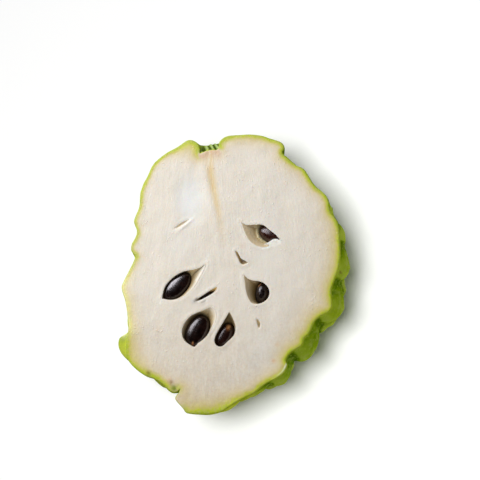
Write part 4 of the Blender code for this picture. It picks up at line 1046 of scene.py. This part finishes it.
    # light tan on parts of some walls: their own colour, and painted light at the slit's end
    wall = m.mix(m.attribute("dab"), wall, rgb(236, 212, 158))
    colour = m.mix(m.remap(sunk, 0.03, 0.30), colour, wall)
    colour = m.mix(m.math("MULTIPLY", collar, 1.2, clamp=True), colour, rgb(216, 204, 164))
    # painted highlights: near white, and lime yellow along the bottom edge of the cut
    glint_colour = m.mix(m.remap(along.outputs["Y"], -0.0445, -0.0500), rgb(255, 255, 250), rgb(232, 238, 98))
    colour = m.mix(m.math("MULTIPLY", glint, 1.0, clamp=True), colour, glint_colour)
    m.link(colour, m.shader.inputs["Base Color"])

    drops = m.voronoi(pos, 900.0)
    height = m.math("ADD", m.math("MULTIPLY", fibres, 0.8), m.math("MULTIPLY", grains, 0.7))
    height = m.math("ADD", height, m.math("MULTIPLY", drops, 0.25))
    flecks = m.math("SUBTRACT", 1.0, m.remap(m.voronoi(pos, 640.0), 0.06, 0.28))
    flecks = m.math("MULTIPLY", flecks, m.remap(m.noise(pos, 90.0, 3.0, 0.6), 0.50, 0.64))
    height = m.math("ADD", height, m.math("MULTIPLY", flecks, 1.1))
    height = m.math("MULTIPLY", height, m.math("SUBTRACT", 1.0, m.math("MULTIPLY", cool, 0.85)))
    m.link(m.bump(height, 0.00021, 0.75), m.shader.inputs["Normal"])
    m.link(m.remap(grains, 0.3, 0.7, 0.30, 0.52), m.shader.inputs["Roughness"])
    s = m.shader
    s.inputs["Subsurface Weight"].default_value = 0.35
    s.inputs["Subsurface Radius"].default_value = (1.0, 0.75, 0.5)
    s.inputs["Subsurface Scale"].default_value = 0.0016
    s.inputs["Specular IOR Level"].default_value = 0.35
    s.inputs["Coat Weight"].default_value = 0.10
    s.inputs["Coat Roughness"].default_value = 0.22
    return m.material


def rind_material():
    m = Nodes("custard_apple_rind")
    pos = m.position()
    groove, height, place = m.attribute("groove"), m.attribute("height"), m.attribute("place")
    wart, speck, crease = m.attribute("wart"), m.attribute("speck"), m.attribute("crease")
    under, rib, hollow, ridge = m.attribute("under"), m.attribute("rib"), m.attribute("hollow"), m.attribute("ridge")
    along = m.new("ShaderNodeSeparateXYZ")
    m.link(pos, along.inputs[0])
    patches = m.noise(pos, 38.0, 3.0, 0.55)
    mottle = m.noise(pos, 420.0, 4.0, 0.65)
    fine = m.noise(pos, 1500.0, 2.0, 0.6)
    green = m.mix(m.remap(patches, 0.34, 0.66), rgb(112, 142, 4), rgb(146, 166, 20))
    green = m.mix(m.remap(wart, 0.0, 1.0, 0.0, 0.35), green, rgb(160, 174, 24))
    green = m.mix(m.remap(mottle, 0.44, 0.66, 0.0, 0.66), green, rgb(80, 112, 2))
    crest = m.remap(height, 1.2, 2.6)
    green = m.mix(m.math("MULTIPLY", crest, 0.50), green, rgb(182, 194, 52))
    # painted shade: the low parts between the warts and the creases along the grooves are painted darker green
    low = m.math("SUBTRACT", 1.0, m.remap(height, 0.0, 1.5))
    green = m.mix(m.math("MULTIPLY", low, 0.42), green, rgb(78, 106, 2))
    green = m.mix(m.math("MULTIPLY", crease, 0.62, clamp=True), green, rgb(56, 70, 4))
    # painted highlight and shade: ridges of the relief painted lighter, hollows darker
    green = m.mix(m.remap(ridge, 0.10, 0.80, 0.0, 0.55), green, rgb(184, 196, 78))
    green = m.mix(m.remap(ridge, -0.10, -0.80, 0.0, 0.45), green, rgb(62, 90, 2))
    # painted light: the skin's left side, which faces the key light, is painted lighter and yellower on its raised
    # parts
    lit_left_skin = m.remap(along.outputs["X"], 0.000, -0.046, 0.0, 0.62)
    green = m.mix(m.math("MULTIPLY", lit_left_skin, m.remap(height, 0.2, 1.4)), green, rgb(194, 202, 74))
    deep = m.remap(along.outputs["X"], 0.010, 0.034, 0.0, 1.0)
    green = m.mix(deep, green, m.mix(1.0, green, (0.91, 1.02, 0.64, 1.0), "MULTIPLY"))
    high = m.math("MULTIPLY", deep, m.remap(along.outputs["Y"], -0.006, 0.014, 0.0, 1.0))
    green = m.mix(high, green, m.mix(1.0, green, (1.12, 1.07, 1.35, 1.0), "MULTIPLY"))
    down = m.math("MULTIPLY", deep, m.remap(along.outputs["Y"], -0.028, -0.040, 0.0, 1.0))
    green = m.mix(down, green, m.mix(1.0, green, (0.90, 0.95, 0.75, 1.0), "MULTIPLY"))
    lowest = m.remap(along.outputs["Y"], -0.050, -0.062, 0.0, 0.42)
    lowest = m.math("MULTIPLY", lowest, m.remap(along.outputs["X"], 0.018, 0.004))
    green = m.mix(lowest, green, rgb(204, 212, 44))
    # tiny pale lenticels, and rare brown scuffs on the crests
    dots = m.math("SUBTRACT", 1.0, m.remap(m.voronoi(pos, 640.0), 0.10, 0.30))
    green = m.mix(m.math("MULTIPLY", dots, 0.55), green, rgb(184, 198, 84))
    # painted sheen: light streaks in place of the skin's waxy highlights, which it doesn't reflect
    sheen = m.remap(m.noise(pos, 300.0, 4.0, 0.70), 0.50, 0.62, 0.0, 0.58)
    green = m.mix(m.math("MULTIPLY", sheen, m.remap(under, 2.0, 7.0, 0.4, 1.0)), green, rgb(172, 188, 84))
    scuff = m.remap(m.noise(pos, 110.0, 5.0, 0.7), 0.64, 0.72, 0.0, 0.6)
    green = m.mix(m.math("MULTIPLY", scuff, m.remap(height, 1.0, 2.2)), green, rgb(112, 94, 34))
    green = m.mix(m.math("MULTIPLY", speck, 0.92, clamp=True), green, rgb(50, 28, 12))
    # the wall of the stem hollow: pale and dark ribs
    ribbed = m.mix(m.remap(rib, -0.7, 0.8), rgb(54, 74, 14), rgb(170, 192, 120))
    green = m.mix(m.math("MULTIPLY", hollow, 0.85, clamp=True), green, ribbed)
    # the skin's cut edge is yellower
    edge = m.math("SUBTRACT", 1.0, m.remap(under, 0.1, 1.3))
    green = m.mix(m.math("MULTIPLY", edge, 0.75), green, rgb(190, 202, 56))
    # painted highlight: the light spot on the swelling at lower left
    green = m.mix(m.math("MULTIPLY", m.attribute("dab"), 0.92), green, rgb(250, 250, 178))
    m.link(green, m.shader.inputs["Base Color"])
    h = m.math("ADD", m.math("MULTIPLY", mottle, 1.0), m.math("MULTIPLY", fine, 0.35))
    h = m.math("ADD", h, m.math("MULTIPLY", dots, 0.25))
    m.link(m.bump(h, 0.00030, 0.8), m.shader.inputs["Normal"])
    m.link(m.remap(mottle, 0.3, 0.7, 0.42, 0.60), m.shader.inputs["Roughness"])
    s = m.shader
    s.inputs["Subsurface Weight"].default_value = 0.14
    s.inputs["Subsurface Radius"].default_value = (0.6, 0.8, 0.2)
    s.inputs["Subsurface Scale"].default_value = 0.001
    s.inputs["Specular IOR Level"].default_value = 0.0
    return m.material


def seed_material():
    m = Nodes("custard_apple_seed_coat")
    grain = m.attribute("grain", True)
    scar = m.attribute("scar")
    stretch = m.new("ShaderNodeMapping")
    m.link(grain, stretch.inputs["Vector"])
    stretch.inputs["Scale"].default_value = (0.18, 1.0, 1.0)
    streak = m.noise(stretch.outputs[0], 1.7, 4.0, 0.6)
    across = m.new("ShaderNodeMapping")
    m.link(grain, across.inputs["Vector"])
    across.inputs["Scale"].default_value = (1.0, 0.22, 0.22)
    ripple = m.noise(across.outputs[0], 2.2, 3.0, 0.6)
    cloud = m.noise(grain, 0.30, 2.0, 0.5)
    coat = m.mix(m.remap(streak, 0.36, 0.70), rgb(5, 2, 2), rgb(28, 14, 10))
    coat = m.mix(m.remap(cloud, 0.45, 0.70, 0.0, 0.6), coat, rgb(44, 24, 18))
    coat = m.mix(m.attribute("ruddy"), coat, m.mix(m.remap(ripple, 0.4, 0.6), rgb(44, 16, 12), rgb(92, 50, 38)))
    scarred = m.mix(m.remap(streak, 0.42, 0.58), rgb(206, 152, 98), rgb(128, 70, 32))
    coat = m.mix(m.math("MULTIPLY", scar, 0.95, clamp=True), coat, scarred)
    m.link(coat, m.shader.inputs["Base Color"])
    rough = m.math("ADD", m.math("MULTIPLY", streak, 0.5), ripple)
    rough = m.math("MULTIPLY", rough, m.math("MULTIPLY_ADD", m.attribute("ruddy"), 3.2, 1.0))
    m.link(m.bump(rough, 0.00012, 0.6), m.shader.inputs["Normal"])
    # the coat is duller where it turns away
    turned = m.new("ShaderNodeLayerWeight")
    turned.inputs["Blend"].default_value = 0.5
    dull = m.remap(turned.outputs["Facing"], 0.45, 0.85, 0.0, 0.34)
    scuffed = m.math("MULTIPLY", m.attribute("matte"), m.remap(m.noise(grain, 0.9, 3.0, 0.6), 0.38, 0.56))
    m.link(m.math("ADD", m.math("ADD", m.remap(cloud, 0.3, 0.7, 0.16, 0.20), scuffed), dull), m.shader.inputs["Roughness"])
    m.shader.inputs["Specular IOR Level"].default_value = 0.95
    m.shader.inputs["Specular Tint"].default_value = (0.96, 0.92, 1.0, 1.0)
    return m.material


# ================================================================ the object
fruit = make_fruit()
fruit.data.materials.append(flesh_material())
fruit.data.materials.append(rind_material())
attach(fruit, "root")
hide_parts("fruit_half")

coat = seed_material()
SCARS = {
    "seed_lower_left": ((-15.3, -33.6), (0.75, 0.4), 75.0),
    "seed_lower_middle": ((0.9, -26.6), (1.35, 0.95), 80.0),
    "seed_right": ((15.2, -7.7), (1.1, 0.6), 55.0),
}
MATTE = {"seed_right": 0.26, "seed_lower_middle": 0.06, "seed_lower_left": 0.05, "seed_left": 0.08}
RUDDY = {"seed_upper_right": 0.45, "seed_lower_middle": 0.15}
seeds = []
for name in SEEDS:
    seed = make_seed(name, SCARS.get(name))
    seeds.append(seed)
    seed.data.materials.append(coat)
    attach(seed, "root")
    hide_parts(name)

# ================================================================ studio
floor_mesh = bpy.data.meshes.new("studio_floor")
floor_mesh.from_pydata([(-3, -3, 0), (3, -3, 0), (3, 3, 0), (-3, 3, 0)], [], [(0, 1, 2, 3)])
floor = bpy.data.objects.new("studio_floor", floor_mesh)
bpy.context.scene.collection.objects.link(floor)
floor_paint = bpy.data.materials.new("studio_floor_white")
floor_paint.use_nodes = True
shader = floor_paint.node_tree.nodes["Principled BSDF"]
shader.inputs["Base Color"].default_value = (0.93, 0.93, 0.93, 1)
shader.inputs["Roughness"].default_value = 0.9
shader.inputs["Specular IOR Level"].default_value = 0.1
shader.inputs["Emission Color"].default_value = (1, 1, 1, 1)
shader.inputs["Emission Strength"].default_value = 0.02
floor_mesh.materials.append(floor_paint)


def area_light(name, at, look, size, watts, colour=(1, 1, 1)):
    data = bpy.data.lights.new(name, "AREA")
    data.shape = "SQUARE"
    data.size = size
    data.energy = watts
    data.color = colour
    lamp = bpy.data.objects.new(name, data)
    bpy.context.scene.collection.objects.link(lamp)
    lamp.location = at
    lamp.rotation_euler = (Vector(look) - Vector(at)).to_track_quat("-Z", "Y").to_euler()
    return lamp


def only_on(lamp, name, things):
    """The lamp lights only these things; everything else is lit by the other lamps."""
    group = bpy.data.collections.new(name)
    for thing in things:
        group.objects.link(thing)
    lamp.light_linking.receiver_collection = group


key = area_light("key_softbox", (-0.33, 0.29, 0.345), (0, 0, 0.04), 0.40, 3.15, (1.0, 0.99, 0.97))
only_on(key, "lit_by_key", [fruit] + seeds)
fill = area_light("fill_softbox", (0.10, -0.05, 0.90), (0, 0, 0.04), 0.60, 2.3)
fill.visible_glossy = False
only_on(fill, "lit_by_fill", [fruit] + seeds)
overhead = area_light("floor_softbox", (0.06, -0.072, 1.20), (0, 0, 0), 0.34, 14.8)
only_on(overhead, "lit_by_overhead", [floor])
sheen = area_light("seed_softbox", (-0.285, 0.245, 0.47), (-0.0235, -0.0073, 0.052), 0.30, 1.25)
sheen.visible_diffuse = False
only_on(sheen, "lit_by_sheen", [seeds[1]])

world = bpy.data.worlds.new("studio")
bpy.context.scene.world = world
world.use_nodes = True
world.node_tree.nodes["Background"].inputs[0].default_value = (1, 1, 1, 1)
world.node_tree.nodes["Background"].inputs[1].default_value = 0.11
world.cycles_visibility.glossy = False

# ================================================================ camera
FACE = np.array([0.0, 0.0, CUT_HEIGHT])
camera_data = bpy.data.cameras.new("camera")
camera_data.lens = 100
camera_data.sensor_width = 36
camera_data.clip_start = 0.01
camera = bpy.data.objects.new("camera", camera_data)
bpy.context.scene.collection.objects.link(camera)
view = np.array([math.sin(math.radians(17)) * math.cos(math.radians(-35)),
                 math.sin(math.radians(17)) * math.sin(math.radians(-35)), math.cos(math.radians(17))])
up = np.array([0, 1, 0]) - view[1] * view
up /= np.linalg.norm(up)
right = np.cross(up, view)
place = (FACE + np.array([6.95, 12.48, 0.0]) + view * 600.0) * MM
camera.matrix_world = Matrix(((right[0], up[0], view[0], place[0]), (right[1], up[1], view[1], place[1]),
                              (right[2], up[2], view[2], place[2]), (0, 0, 0, 1)))
bpy.context.scene.camera = camera
bpy.context.scene.view_settings.view_transform = "Standard"
bpy.context.scene.view_settings.look = "None"
